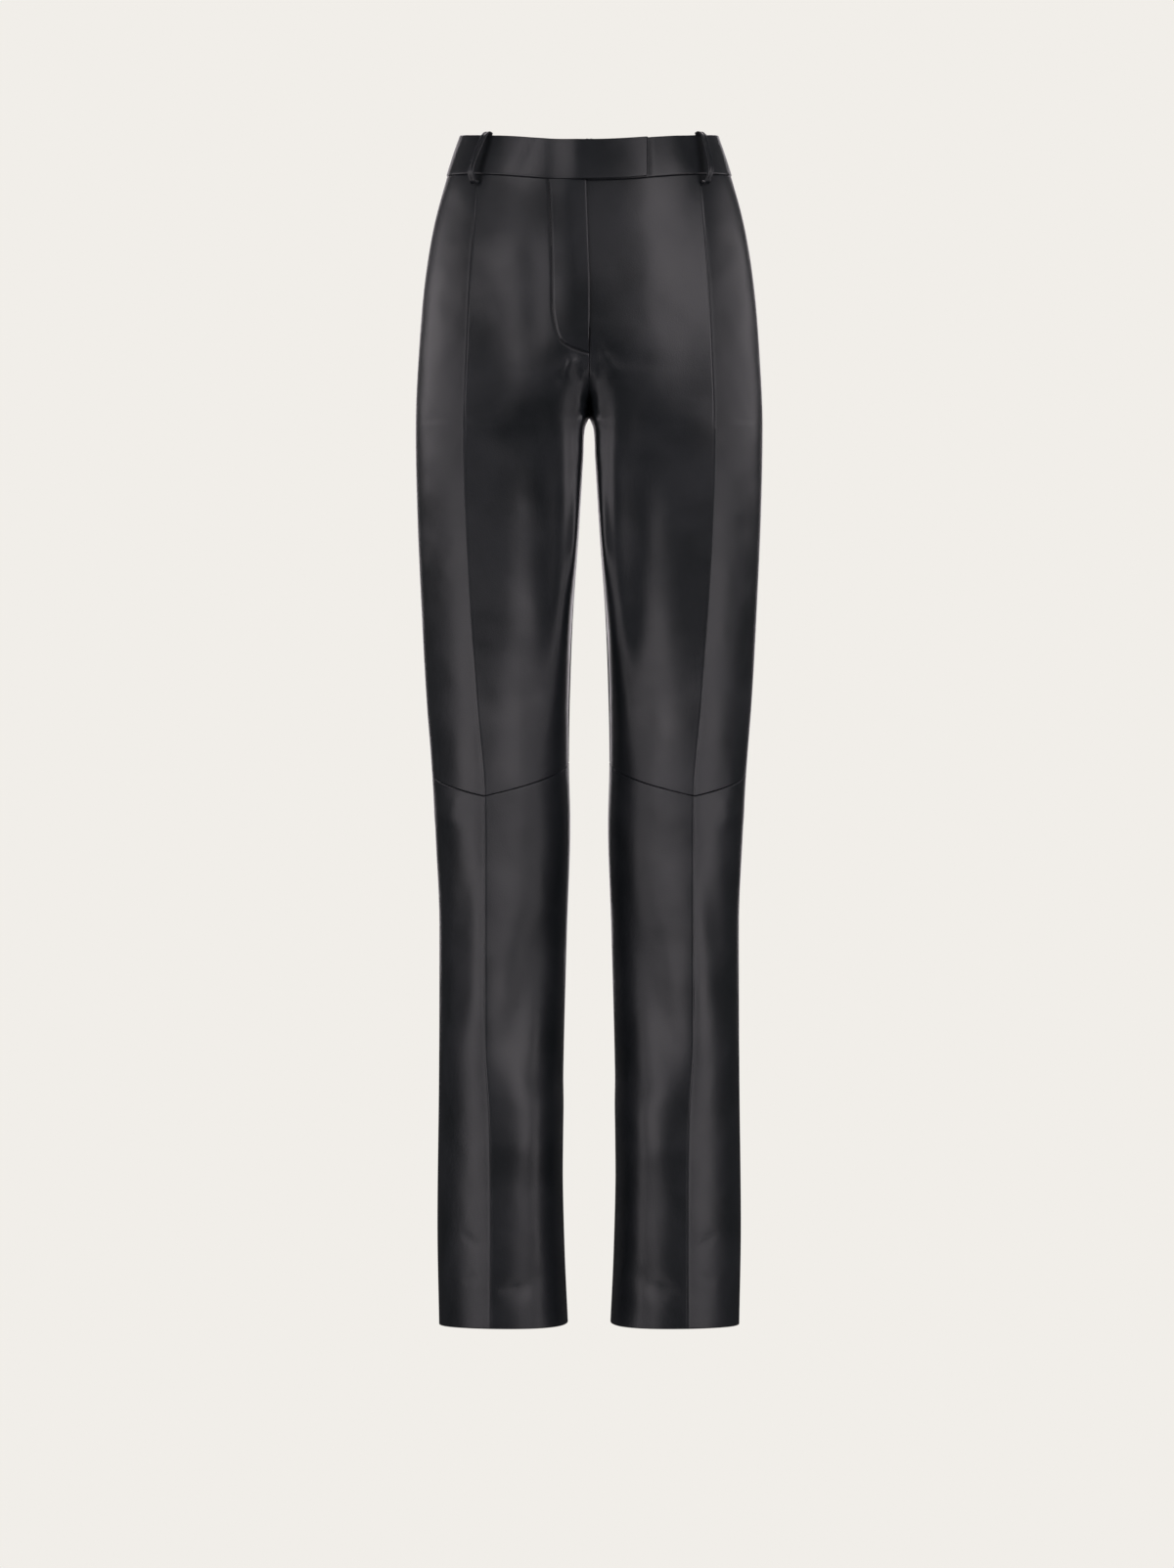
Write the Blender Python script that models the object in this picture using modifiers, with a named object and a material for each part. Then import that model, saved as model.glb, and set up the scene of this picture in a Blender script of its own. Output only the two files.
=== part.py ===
"""Leather trousers in their worn, hollow form: pressed front and back creases, a seam across each knee,
a fly that closes right over left, and a waistband with a tab and five belt loops.

Metres, +Z up. The front faces -Y and the wearer's right leg is at -X. The origin is the middle of the
waist opening, level with the waistband's top edge at the side. Tables are in millimetres.
"""

import math

import bmesh
import bpy
import numpy as np
from mathutils import Matrix, Vector

MM = 0.001
RIGHT = -1
LEFT = 1

# One layer of nappa, the folded waistband, and the space that sewn pieces keep between them
WALL = 1.2
BAND_WALL = 2.0
SEAM = 0.3

# What the panels' edges draw back by where four of them meet, at the crotch
CROTCH_EASE = 0.3
CROTCH_EASE_REACH = 40.0

# Heights at the side seam
WAIST_TOP = 0.0
WAIST_SEAM = -38.0
CROTCH = -270.0
KNEE_SEAM = -587.0
HEM = -1094.0

# The lines that shape a leg. Each row is a section, named by its height at the side seam ("at"). x is the
# distance from the middle, y is the depth (the front is negative), and drop is the line's height less "at".
SIDE_SEAM = {
    "columns": ("at", "x", "y"),
    "rows": (
        (WAIST_TOP, 118.0, 3.0),
        (-19.0, 124.7, 3.5),
        (WAIST_SEAM, 130.6, 4.0),
        (-83.0, 142.7, 5.0),
        (-137.0, 151.5, 6.0),
        (-200.0, 156.8, 6.0),
        (CROTCH, 159.7, 6.0),
        (-340.0, 158.4, 4.0),
        (-430.0, 154.6, 3.0),
        (-520.0, 149.6, 2.0),
        (KNEE_SEAM, 144.5, 2.0),
        (-650.0, 141.0, 2.0),
        (-731.0, 137.8, 2.0),
        (-866.0, 138.2, 2.0),
        (-1001.0, 139.6, 1.0),
        (HEM, 138.0, 0.0),
    ),
}
FRONT_CREASE = {
    "columns": ("at", "x", "y", "drop"),
    "rows": (
        (WAIST_TOP, 90.5, -58.0, -7.0),
        (WAIST_SEAM, 100.5, -64.5, -5.0),
        (-83.0, 105.0, -71.0, -3.0),
        (-137.0, 109.0, -76.0, -2.0),
        (-200.0, 112.0, -79.5, -1.0),
        (CROTCH, 114.3, -81.0, -2.0),
        (-340.0, 113.2, -83.0, -1.0),
        (-430.0, 109.0, -83.0, -1.0),
        (-520.0, 102.5, -81.0, -5.0),
        (KNEE_SEAM, 95.5, -79.0, -21.0),
        (-650.0, 95.2, -77.0, -10.0),
        (-731.0, 95.2, -77.0, -4.0),
        (-830.0, 95.0, -78.5, 0.0),
        (-900.0, 91.0, -80.5, 0.0),
        (-1001.0, 89.8, -83.0, 2.0),
        (HEM, 90.0, -85.0, 4.0),
    ),
}
CENTRE_FRONT = {
    "columns": ("at", "x", "y", "drop"),
    "rows": (
        (WAIST_TOP, 0.0, -91.0, -15.0),
        (WAIST_SEAM, 0.0, -98.5, -14.0),
        (-83.0, 0.0, -103.0, -8.0),
        (-130.0, 0.0, -104.0, -4.0),
        (-175.0, 0.0, -101.0, -2.0),
        (-208.0, 0.0, -96.0, 0.0),
        (-234.0, 0.0, -87.0, 3.0),
        (-252.0, 0.0, -67.0, 6.0),
        (-263.0, 0.0, -38.0, 8.0),
        (CROTCH, 0.0, 2.0, 10.0),
    ),
}
CENTRE_BACK = {
    "columns": ("at", "x", "y", "drop"),
    "rows": (
        (WAIST_TOP, 0.0, 92.0, 5.0),
        (WAIST_SEAM, 0.0, 99.0, 5.0),
        (-83.0, 0.0, 112.0, 4.0),
        (-130.0, 0.0, 120.0, 2.0),
        (-175.0, 0.0, 119.0, 0.0),
        (-208.0, 0.0, 108.0, 0.0),
        (-234.0, 0.0, 88.0, 3.0),
        (-252.0, 0.0, 58.0, 6.0),
        (CROTCH, 0.0, 2.0, 10.0),
    ),
}
INSEAM = {
    "columns": ("at", "x", "y", "drop"),
    "rows": (
        (CROTCH, 0.0, 2.0, 10.0),
        (-279.0, 3.8, 2.0, 9.0),
        (-303.0, 5.4, 2.0, 6.0),
        (-371.0, 9.7, 3.0, 2.0),
        (-438.0, 14.6, 3.0, 1.0),
        (-520.0, 17.7, 2.0, 3.0),
        (KNEE_SEAM, 18.6, 2.0, 10.0),
        (-640.0, 17.3, 2.0, 6.0),
        (-731.0, 20.3, 2.0, 2.0),
        (-866.0, 23.8, 2.0, 0.0),
        (-940.0, 24.3, 1.0, 0.0),
        (-1030.0, 22.4, 0.0, 1.0),
        (HEM, 19.5, 0.0, 2.0),
    ),
}
BACK_CREASE = {
    "columns": ("at", "x", "y", "drop"),
    "rows": (
        (WAIST_TOP, 78.0, 68.0, 3.0),
        (WAIST_SEAM, 86.0, 74.0, 3.0),
        (-83.0, 94.0, 88.0, 2.0),
        (-150.0, 97.0, 101.0, 0.0),
        (-208.0, 96.0, 102.0, 0.0),
        (CROTCH, 93.0, 93.0, -1.0),
        (-340.0, 92.0, 86.0, 0.0),
        (-470.0, 91.0, 79.0, 0.0),
        (KNEE_SEAM, 88.0, 72.0, 2.0),
        (-700.0, 87.0, 78.0, 0.0),
        (-800.0, 86.0, 83.0, 0.0),
        (-950.0, 86.0, 84.0, 0.0),
        (HEM, 86.0, 86.0, 1.0),
    ),
}

# How a section turns as it meets its lines, in degrees from straight across. The difference between the
# outer and the inner side of a crease is how sharply it was pressed, and fork is the turn at the middle seam.
# Full is how far the curve between the two holds its direction, as a share of the distance between its ends.
TURNS = {
    "columns": (
        "at", "front_outer", "front_inner", "front_fork", "front_full", "back_outer", "back_inner",
        "back_fork", "back_full",
    ),
    "rows": (
        (WAIST_TOP, 41.0, 38.0, 0.0, 0.37, 34.0, 33.0, 0.0, 0.37),
        (WAIST_SEAM, 41.0, 36.0, 0.0, 0.37, 34.0, 32.0, 0.0, 0.37),
        (-83.0, 43.0, 30.0, 0.0, 0.37, 30.0, 27.0, 4.0, 0.37),
        (-150.0, 44.0, 20.0, 0.0, 0.36, 24.0, 18.0, 12.0, 0.37),
        (-208.0, 44.0, 11.7, 4.5, 0.45, 22.0, 12.0, 26.0, 0.37),
        (-222.0, 44.0, 10.3, 9.0, 0.44, 22.0, 10.7, 36.0, 0.37),
        (-234.0, 43.5, 9.1, 27.0, 0.35, 22.0, 9.5, 46.0, 0.38),
        (-244.0, 43.0, 8.9, 54.0, 0.32, 22.0, 8.8, 55.0, 0.39),
        (-252.0, 43.0, 10.0, 76.5, 0.38, 22.0, 8.2, 67.0, 0.42),
        (-258.0, 43.0, 10.2, 84.0, 0.48, 22.0, 8.0, 74.0, 0.45),
        (-263.0, 43.0, 10.7, 88.0, 0.57, 22.0, 8.0, 79.0, 0.47),
        (CROTCH, 42.0, 10.0, 90.0, 0.7, 22.0, 8.0, 84.0, 0.5),
        (-284.0, 42.0, 6.5, 90.0, 0.74, 22.0, 7.0, 90.0, 0.5),
        (-304.0, 41.0, 1.5, 90.0, 0.75, 21.4, 6.1, 90.0, 0.49),
        (-340.0, 40.0, -4.0, 90.0, 0.76, 20.0, 4.0, 90.0, 0.46),
        (-380.0, 38.5, -6.5, 90.0, 0.77, 19.0, 1.0, 90.0, 0.44),
        (-460.0, 37.0, -11.0, 90.0, 0.7, 18.0, -1.0, 90.0, 0.43),
        (-520.0, 35.5, -14.5, 90.0, 0.55, 18.0, -4.0, 90.0, 0.41),
        (KNEE_SEAM, 33.0, -15.0, 90.0, 0.42, 18.0, -6.0, 90.0, 0.38),
        (-731.0, 32.0, -16.0, 90.0, 0.38, 19.0, -6.0, 90.0, 0.37),
        (-830.0, 32.0, -9.0, 90.0, 0.41, 20.0, -6.0, 90.0, 0.36),
        (-930.0, 33.0, 0.0, 90.0, 0.46, 22.0, -7.0, 90.0, 0.35),
        (HEM, 34.0, 3.0, 90.0, 0.46, 24.0, -8.0, 90.0, 0.34),
    ),
}
HANDLE = 0.37  # the same share between a side seam and a crease
LEVEL_FROM = -110.0  # above this height the sections level out as they meet the middle

# The largest folds: soft troughs (negative) and ridges between two points of the front or back, by x from
# the middle and height. Side is the leg, or 0 for both.
FOLDS = {
    "columns": ("panel", "side", "x_1", "z_1", "x_2", "z_2", "width", "height"),
    "rows": (
        ("front", 0, 10.0, -206.0, 26.0, -232.0, 7.0, 1.3),
        ("front", 0, 30.0, -262.0, 96.0, -300.0, 16.0, -1.2),
        ("front", RIGHT, 50.0, -80.0, 48.0, -232.0, 15.0, -1.6),
        ("front", RIGHT, 74.0, -96.0, 80.0, -330.0, 24.0, -2.8),
        ("front", LEFT, 80.0, -214.0, 74.0, -350.0, 22.0, -2.4),
        ("front", 0, 17.5, -220.0, 27.0, -500.0, 8.0, 1.6),
        ("front", 0, 48.0, -180.0, 43.0, -640.0, 21.0, -6.0),
        ("front", 0, 36.0, -700.0, 84.0, -880.0, 17.0, -3.0),
        ("front", 0, 40.0, -860.0, 62.0, -960.0, 22.0, 2.0),
        ("front", 0, 112.0, -650.0, 128.0, -850.0, 14.0, -2.4),
        ("front", 0, 30.0, -1040.0, 84.0, -1060.0, 12.0, -1.4),
        ("front", 0, 118.0, -600.0, 134.0, -640.0, 10.0, 1.6),
        ("back", 0, 20.0, -236.0, 80.0, -262.0, 15.0, -2.6),
        ("back", 0, 30.0, -270.0, 110.0, -292.0, 14.0, 2.0),
        ("back", 0, 36.0, -300.0, 96.0, -322.0, 14.0, -1.8),
        ("back", 0, 40.0, -560.0, 120.0, -548.0, 13.0, -2.2),
        ("back", 0, 44.0, -602.0, 118.0, -612.0, 14.0, 2.0),
        ("back", 0, 40.0, -640.0, 104.0, -628.0, 13.0, -2.0),
        ("back", 0, 44.0, -980.0, 70.0, -760.0, 18.0, -2.0),
    ),
}
FOLD_FADE = 0.35  # the share of a fold's length over which each end fades out

# How the fronts turn into the inseam below the fork, tighter than the sections do: how far forward, how
# sharply and over what width, then where that starts and ends
TURN_IN = (22.0, 2.4, 14.0)
TURN_IN_NEAREST = 6.2
TURN_IN_SEAM = 50.0
TURN_IN_TOP = -250.0
TURN_IN_END = -440.0
TURN_IN_RAMPS = (32.0, 70.0)

# Small steps for finding a surface's direction: in share across a section, and in millimetres
SHARE_STEP = 0.02
STEP = 1.0

# Heights of the upper panels' rows, close together where the middle seam turns under the crotch
UPPER_ROWS = (
    WAIST_SEAM, -60.0, -83.0, -106.0, -130.0, -153.0, -175.0, -192.0, -208.0, -222.0, -234.0, -244.0, -252.0,
    -259.0, -265.0, CROTCH, -277.0, -288.0, -304.0, -325.0, -352.0, -385.0, -422.0, -464.0, -506.0, -546.0,
    KNEE_SEAM,
)
LOWER_ROWS = tuple(np.linspace(KNEE_SEAM, HEM, 13))
UPPER_COLUMNS = 12
LOWER_COLUMNS = 10
SEAM_CROWDING = 0.55  # how far the columns crowd towards the seams and the crease; 0 spaces them evenly
EDGE_SHARE = 0.25  # the share of a panel's width over which its middle edge is moved in or out

# Fly: the right front closes over the left front, and stands out inside a stitched J. The rise starts so far
# outside the J and takes so far to reach its height. Past the middle, the edge lies so far over the left
# front at FLY_STRAIGHT and below, and so far short of the middle at the waistband.
FLY_STITCH = {
    "columns": ("x", "z"),
    "rows": (
        (36.6, -50.0),
        (35.0, -69.0),
        (34.2, -102.0),
        (33.9, -137.0),
        (33.6, -168.0),
        (32.2, -178.0),
        (29.8, -188.0),
        (26.4, -195.5),
        (22.4, -199.5),
        (15.0, -203.5),
        (8.0, -206.0),
        (-4.0, -209.5),
    ),
}
FLAP_RAISE = 2.8
FLAP_RISE = (1.0, 7.0)
FLAP_OVERHANG = (0.6, -3.0)
FLY_STRAIGHT = -140.0
UNDERLAP = 8.0
UNDERLAP_END = -188.0
UNDERLAP_RAMP = 16.0

# Waistband: its right half ends in a tab over the left half
BAND_OUTSET = 1.0
BAND_EASE = 0.2  # what its lower edge draws up by, as its wall leans out over the panels' edges
TAB_END = 52.0
TAB_RAISE = 3.7
TAB_RAMP_START = -36.0
TAB_RAMP_END = -8.0
BAND_UNDERLAP = 5.0
BAND_COLUMNS = 38

# Belt loops: a folded strip that stands off the band far enough for a belt. Each level names a height and how
# far the leather there stands out from the panels. A knot of the path lies so far out from it and up from it.
LOOP_WIDTH = 7.0
LOOP_WALL = 2.0
LOOP_STEPS = 16
LOOP_LEVELS = {
    "columns": ("level", "at", "outset"),
    "rows": (
        ("top", WAIST_TOP, BAND_OUTSET),
        ("seam", WAIST_SEAM, BAND_OUTSET),
        ("below", WAIST_SEAM - 8.5, 0.0),
    ),
}
LOOP_PATH = {
    "columns": ("level", "out", "up"),
    "rows": (
        ("top", -1.2, 1.3),
        ("top", 1.7, 2.1),
        ("top", 5.2, 0.5),
        ("top", 9.2, -5.4),
        ("seam", 9.8, 6.0),
        ("below", 7.3, 2.6),
        ("below", 3.9, -0.6),
        ("below", 1.6, 1.0),
    ),
}
BELT_LOOPS = {
    "columns": ("name", "side", "front", "share_at_top", "share_at_seam"),
    "rows": (
        ("belt_loop_front_right", RIGHT, True, 0.5, 0.5),
        ("belt_loop_front_left", LEFT, True, 0.42, 0.49),
        ("belt_loop_back_right", RIGHT, False, 0.56, 0.56),
        ("belt_loop_back_left", LEFT, False, 0.56, 0.56),
        ("belt_loop_centre_back", LEFT, False, 1.0, 1.0),
    ),
}

# Fastenings behind the fly and the tab
FRONT_STEPS = 50
ZIP_X = -11.2
ZIP_DEPTH = 1.8
ZIP_TOP = -58.0
ZIP_BOTTOM = -188.0
ZIP_STEPS = 10
TAPE_WIDTH = 24.0
TAPE_WALL = 0.8
CHAIN_WIDTH = 4.2
CHAIN_HEIGHT = 1.2
SLIDER_WIDTH = 5.6
SLIDER_LENGTH = 8.0
SLIDER_DEPTH = 2.3
PULL_WIDTH = 4.0
PULL_LENGTH = 15.0
PULL_WALL = 0.8
PULL_OUT = 0.75
HOOK_X = 34.0
HOOK_PLATE = (12.0, 0.4, 9.0)
BAR_PLATE = (14.0, 0.4, 5.0)

NAPPA = ("black nappa", (0.014, 0.014, 0.015), 0.42, 0.0)
ZIP_TAPE = ("black woven zip tape", (0.012, 0.012, 0.012), 0.85, 0.0)
GUNMETAL = ("gunmetal", (0.25, 0.25, 0.26), 0.35, 1.0)


def smooth_rows(table, at):
    """Every column of a table but the first at the heights asked for, on monotone cubic curves."""
    rows = np.array(table["rows"], float)[::-1]
    knots, values = rows[:, 0], rows[:, 1:]
    step = np.diff(knots)[:, None]
    slope = np.diff(values, axis=0) / step
    tangent = np.vstack([slope[:1], (slope[1:] + slope[:-1]) / 2, slope[-1:]])
    turning = slope[1:] * slope[:-1] <= 0
    tangent[1:-1][turning] = 0
    steepest = 3 * np.minimum(np.abs(np.vstack([slope[:1], slope])), np.abs(np.vstack([slope, slope[-1:]])))
    tangent = np.clip(tangent, -steepest, steepest)
    at = np.clip(np.asarray(at, float), knots[0], knots[-1])
    i = np.clip(np.searchsorted(knots, at, side="right") - 1, 0, len(knots) - 2)
    h = step[i]
    t = ((at - knots[i])[:, None]) / h
    return (
        (2 * t**3 - 3 * t**2 + 1) * values[i]
        + (t**3 - 2 * t**2 + t) * h * tangent[i]
        + (3 * t**2 - 2 * t**3) * values[i + 1]
        + (t**3 - t**2) * h * tangent[i + 1]
    )


def line_points(table, at):
    """A line's points x, y, z at the heights asked for."""
    found = smooth_rows(table, at)
    drop = found[:, 2] if found.shape[1] > 2 else 0.0
    return np.stack([found[:, 0], found[:, 1], at + drop], axis=1)


def middle_points(front, at):
    """The panel's inner edge: the middle seam down to the crotch, and the inseam below it."""
    above = line_points(CENTRE_FRONT if front else CENTRE_BACK, np.maximum(at, CROTCH))
    below = line_points(INSEAM, np.minimum(at, CROTCH))
    return np.where((at >= CROTCH)[:, None], above, below)


def across(angle, inwards, back):
    """Unit directions in plan, turned by an angle in degrees from straight inwards."""
    a = np.radians(angle)
    return np.stack([inwards * np.cos(a), back * np.sin(a), np.zeros_like(a)], axis=1)


def curve(start, start_way, end, end_way, handle, t, level=0.0):
    """Points along one cubic curve for each section, at the shares t of its length. Where level is 1, the
    curve ends without climbing."""
    reach = np.linalg.norm(end - start, axis=1)[:, None] * np.reshape(handle, (-1, 1))
    a, b = start + start_way * reach, end - end_way * reach
    climb = (end - start)[:, 2]
    a[:, 2], b[:, 2] = start[:, 2] + climb / 3, end[:, 2] - climb / 3 * (1 - level)
    t = t[None, :, None]
    start, a, b, end = (p[:, None, :] for p in (start, a, b, end))
    return (1 - t) ** 3 * start + 3 * t * (1 - t) ** 2 * a + 3 * t**2 * (1 - t) * b + t**3 * end


def half_sections(front, at, shares):
    """Points of the front or back half of each section of a left leg. Share 0 is the side seam, a half is
    the crease and 1 the middle."""
    outer, inner, fork, fullness = smooth_rows(TURNS, at).T[0 if front else 4 :][:4]
    face = -1.0 if front else 1.0
    side = line_points(SIDE_SEAM, at)
    crease = line_points(FRONT_CREASE if front else BACK_CREASE, at)
    middle = middle_points(front, at)
    from_side = np.tile([0.0, face, 0.0], (len(at), 1))
    outside = shares <= 0.5
    to_crease, from_crease = across(outer, -1.0, face), across(inner, -1.0, face)
    to_middle = across(fork, -1.0, -face)
    outer_curve = curve(side, from_side, crease, to_crease, HANDLE, shares[outside] * 2)
    level = np.clip((at - LEVEL_FROM) / (WAIST_SEAM - LEVEL_FROM), 0.0, 1.0)
    inner_curve = curve(crease, from_crease, middle, to_middle, fullness, shares[~outside] * 2 - 1, level)
    return np.concatenate([outer_curve, inner_curve], axis=1)


def outward(points, front):
    """Unit normals of a grid of a left leg's points, facing out."""
    down = np.gradient(points, axis=0)
    over = np.gradient(points, axis=1)
    normal = np.cross(down, over) if front else np.cross(over, down)
    return -normal / np.linalg.norm(normal, axis=2, keepdims=True)


def soft_step(x):
    x = np.clip(x, 0.0, 1.0)
    return x * x * (3 - 2 * x)


def fold_height(side, front, points):
    """How far the folds lift each point of a panel, given as a left leg's."""
    total = np.zeros(points.shape[:2])
    for panel, leg, x_1, z_1, x_2, z_2, width, height in FOLDS["rows"]:
        if (panel == "front") != front or leg == -side:
            continue
        start, along = np.array([x_1, z_1]), np.array([x_2 - x_1, z_2 - z_1])
        offset = points[:, :, [0, 2]] - start
        share = offset @ along / (along @ along)
        away = np.linalg.norm(offset - np.clip(share, 0, 1)[..., None] * along, axis=2)
        ends = soft_step(share / FOLD_FADE) * soft_step((1 - share) / FOLD_FADE)
        total += height * ends * np.exp(-((away / width) ** 2))
    return total


def pressed_inseam(points, at):
    """A front's points, with its turn into the inseam drawn forward, tapering off to the seam itself."""
    depth, power, width = TURN_IN
    start = np.maximum(points[:, -1:, 0], TURN_IN_NEAREST) + width
    share = np.clip((start - points[..., 0]) / width, 0.0, 1.0) ** power
    share *= soft_step((points[:, -1:, 1].max() - points[..., 1]) / TURN_IN_SEAM)
    over = soft_step((TURN_IN_TOP - at) / TURN_IN_RAMPS[0]) * soft_step((at - TURN_IN_END) / TURN_IN_RAMPS[1])
    pressed = points.copy()
    pressed[..., 1] -= depth * share * over[:, None]
    return pressed


def inside_stitch(points):
    """How far inside the fly's J each point lies. Outside is negative."""
    line = np.array(FLY_STITCH["rows"])
    flat = points[..., [0, 2]]
    nearest = np.full(flat.shape[:2], np.inf)
    for start, end in zip(line, line[1:]):
        along = end - start
        share = np.clip((flat - start) @ along / (along @ along), 0, 1)
        nearest = np.minimum(nearest, np.linalg.norm(flat - start - share[..., None] * along, axis=2))
    edge = np.interp(flat[..., 1], line[::-1, 1], line[::-1, 0])
    return np.where((flat[..., 0] < edge) & (flat[..., 1] > line[-1, 1]), nearest, -nearest)


def section_shares(columns):
    """Shares across a panel, close together at its seams, with one on the crease."""
    half = columns // 2
    ease = (1 - np.cos(np.linspace(0, math.pi, half + 1))) / 2
    even = np.linspace(0, 1, half + 1)
    near_seam = SEAM_CROWDING * ease + (1 - SEAM_CROWDING) * even
    return np.concatenate([near_seam / 2, 0.5 + near_seam[1:] / 2])


def leg_grid(side, front, rows, columns):
    """One panel's outer points, from the side seam to the middle and from top to bottom."""
    at = np.array(rows)
    shares = section_shares(columns)
    points = half_sections(front, at, shares)
    if front:
        points = pressed_inseam(points, at)
    lift = fold_height(side, front, points)
    edge = -SEAM / 2 - CROTCH_EASE * soft_step(1 - np.abs(at - CROTCH) / CROTCH_EASE_REACH)
    if front:
        overhang = np.interp(points[:, -1, 2], (FLY_STRAIGHT, WAIST_SEAM), FLAP_OVERHANG)
        past_middle = overhang if side == RIGHT else UNDERLAP
        edge = edge + past_middle * soft_step((points[:, -1, 2] - UNDERLAP_END) / UNDERLAP_RAMP)
        if side == RIGHT:
            lift += FLAP_RAISE * soft_step((inside_stitch(points) + FLAP_RISE[0]) / FLAP_RISE[1])
    points = points + outward(points, front) * lift[..., None]
    way = points[:, -1] - points[:, -2]
    way /= np.linalg.norm(way, axis=1)[:, None]
    near_middle = np.clip((shares - 1 + EDGE_SHARE) / EDGE_SHARE, 0.0, 1.0)
    points += (edge[:, None] * near_middle)[..., None] * way[:, None, :]
    points[:, 0, 1] += (-1 if front else 1) * SEAM / 2
    points[0, :, 2] -= SEAM / 2
    if at[-1] != HEM:
        points[-1, :, 2] += SEAM / 2
    points[..., 0] *= side
    return points


def material(finish):
    name, colour, roughness, metallic = finish
    made = bpy.data.materials.get(name) or bpy.data.materials.new(name)
    made.use_nodes = True
    shader = made.node_tree.nodes["Principled BSDF"]
    shader.inputs["Base Color"].default_value = (*colour, 1.0)
    shader.inputs["Roughness"].default_value = roughness
    shader.inputs["Metallic"].default_value = metallic
    made.diffuse_color = (*colour, 1.0)
    return made


def new_object(name, mesh, finish, collection):
    mesh.materials.append(material(finish))
    mesh.shade_smooth()
    mesh.set_sharp_from_angle(angle=math.radians(35))
    made = bpy.data.objects.new(name, mesh)
    collection.objects.link(made)
    return made


def wall_from_grid(name, points, wall, face_out, finish, collection):
    """A sheet through a grid of outer points, given its thickness inwards."""
    rows, columns = points.shape[:2]
    number = np.arange(rows * columns).reshape(rows, columns)
    corners = (number[:-1, :-1], number[1:, :-1], number[1:, 1:], number[:-1, 1:])
    a, b, c, d = (corner.ravel() for corner in corners)
    flat = points.reshape(-1, 3)
    short = np.linalg.norm(flat[a] - flat[c], axis=1) <= np.linalg.norm(flat[b] - flat[d], axis=1)
    first = np.where(short[:, None], np.stack([a, b, c], axis=1), np.stack([a, b, d], axis=1))
    second = np.where(short[:, None], np.stack([a, c, d], axis=1), np.stack([b, c, d], axis=1))
    faces = np.vstack([first, second])
    if not face_out:
        faces = faces[:, ::-1]
    mesh = bpy.data.meshes.new(name)
    mesh.from_pydata((points.reshape(-1, 3) * MM).tolist(), [], faces.tolist())
    made = new_object(name, mesh, finish, collection)
    solid = made.modifiers.new("leather thickness", "SOLIDIFY")
    solid.thickness = wall * MM
    solid.offset = -1.0
    return made


def make_legs(collection):
    """Upper and lower panels, front and back, of both legs."""
    for side, side_name in ((RIGHT, "right"), (LEFT, "left")):
        for front, face_name in ((True, "front"), (False, "back")):
            face_out = front == (side == RIGHT)
            upper = leg_grid(side, front, UPPER_ROWS, UPPER_COLUMNS)
            wall_from_grid(f"{face_name}_upper_{side_name}", upper, WALL, face_out, NAPPA, collection)
            lower = leg_grid(side, front, LOWER_ROWS, LOWER_COLUMNS)
            wall_from_grid(f"{face_name}_lower_{side_name}", lower, WALL, face_out, NAPPA, collection)


def band_rail(front, at, shares, side):
    """Points of half a section of the band, with their outward normals."""
    points = half_sections(front, np.array([at + STEP, at, at - STEP]), shares)
    return points[1] * [side, 1, 1], outward(points, front)[1] * [side, 1, 1]


def band_loop(at, side):
    """The band's line from the centre back round one side to the centre front."""
    shares = section_shares(BAND_COLUMNS * 2)
    back, back_normal = band_rail(False, at, shares, side)
    front, front_normal = band_rail(True, at, shares, side)
    return np.vstack([back[:0:-1], front]), np.vstack([back_normal[:0:-1], front_normal])


def cut_at_x(points, normals, x, rising):
    """The stretch of a line before it crosses x, ending on it."""
    past = points[:, 0] > x if rising else points[:, 0] < x
    first = int(np.argmax(past))
    share = (x - points[first - 1, 0]) / (points[first, 0] - points[first - 1, 0])
    end = points[first - 1] + share * (points[first] - points[first - 1])
    return np.vstack([points[:first], end]), np.vstack([normals[:first], normals[first]])


def spread_evenly(points, values, count):
    """Points and values moved to even spaces along their line."""
    length = np.concatenate([[0], np.cumsum(np.linalg.norm(np.diff(points, axis=0), axis=1))])
    places = np.linspace(0, length[-1], count)

    def moved(what):
        return np.stack([np.interp(places, length, column) for column in what.T], axis=1)

    return moved(points), moved(values)


def band_row(at, side):
    """Outer points of one row of a waistband half, from the centre back to its front end."""
    points, normals = band_loop(at, side)
    other, other_normals = band_loop(at, -side)
    end = TAB_END if side == RIGHT else -BAND_UNDERLAP
    ahead, ahead_normals = cut_at_x(other[::-1], other_normals[::-1], end, side == RIGHT)
    points, normals = np.vstack([points, ahead[1:]]), np.vstack([normals, ahead_normals[1:]])
    points, normals = spread_evenly(points, normals, BAND_COLUMNS + 1)
    outset = np.full(len(points), BAND_OUTSET)
    if side == RIGHT:
        ramp = soft_step((points[:, 0] - TAB_RAMP_START) / (TAB_RAMP_END - TAB_RAMP_START))
        outset += TAB_RAISE * ramp * (points[:, 1] < 0)
    points = points + normals * outset[:, None]
    points[0, 0] += side * SEAM / 2
    return points


def make_waistband(collection):
    """Two folded halves, seamed at the centre back. The right half ends in the tab."""
    heights = np.linspace(WAIST_TOP, WAIST_SEAM, 3)
    for side, name in ((RIGHT, "waistband_right"), (LEFT, "waistband_left")):
        grid = np.stack([band_row(at, side) for at in heights])
        grid[-1, :, 2] += SEAM / 2 + BAND_EASE
        wall_from_grid(name, grid, BAND_WALL, side == RIGHT, NAPPA, collection)


def loop_path(levels):
    """The strip's middle line, over the band's top edge and down clear of the band to just below its seam.
    Each level gives how far out its surface is and its height."""
    knots = [(levels[level][0] + out, levels[level][1] + up) for level, out, up in LOOP_PATH["rows"]]
    return spline(np.array(knots), LOOP_STEPS)


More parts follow.
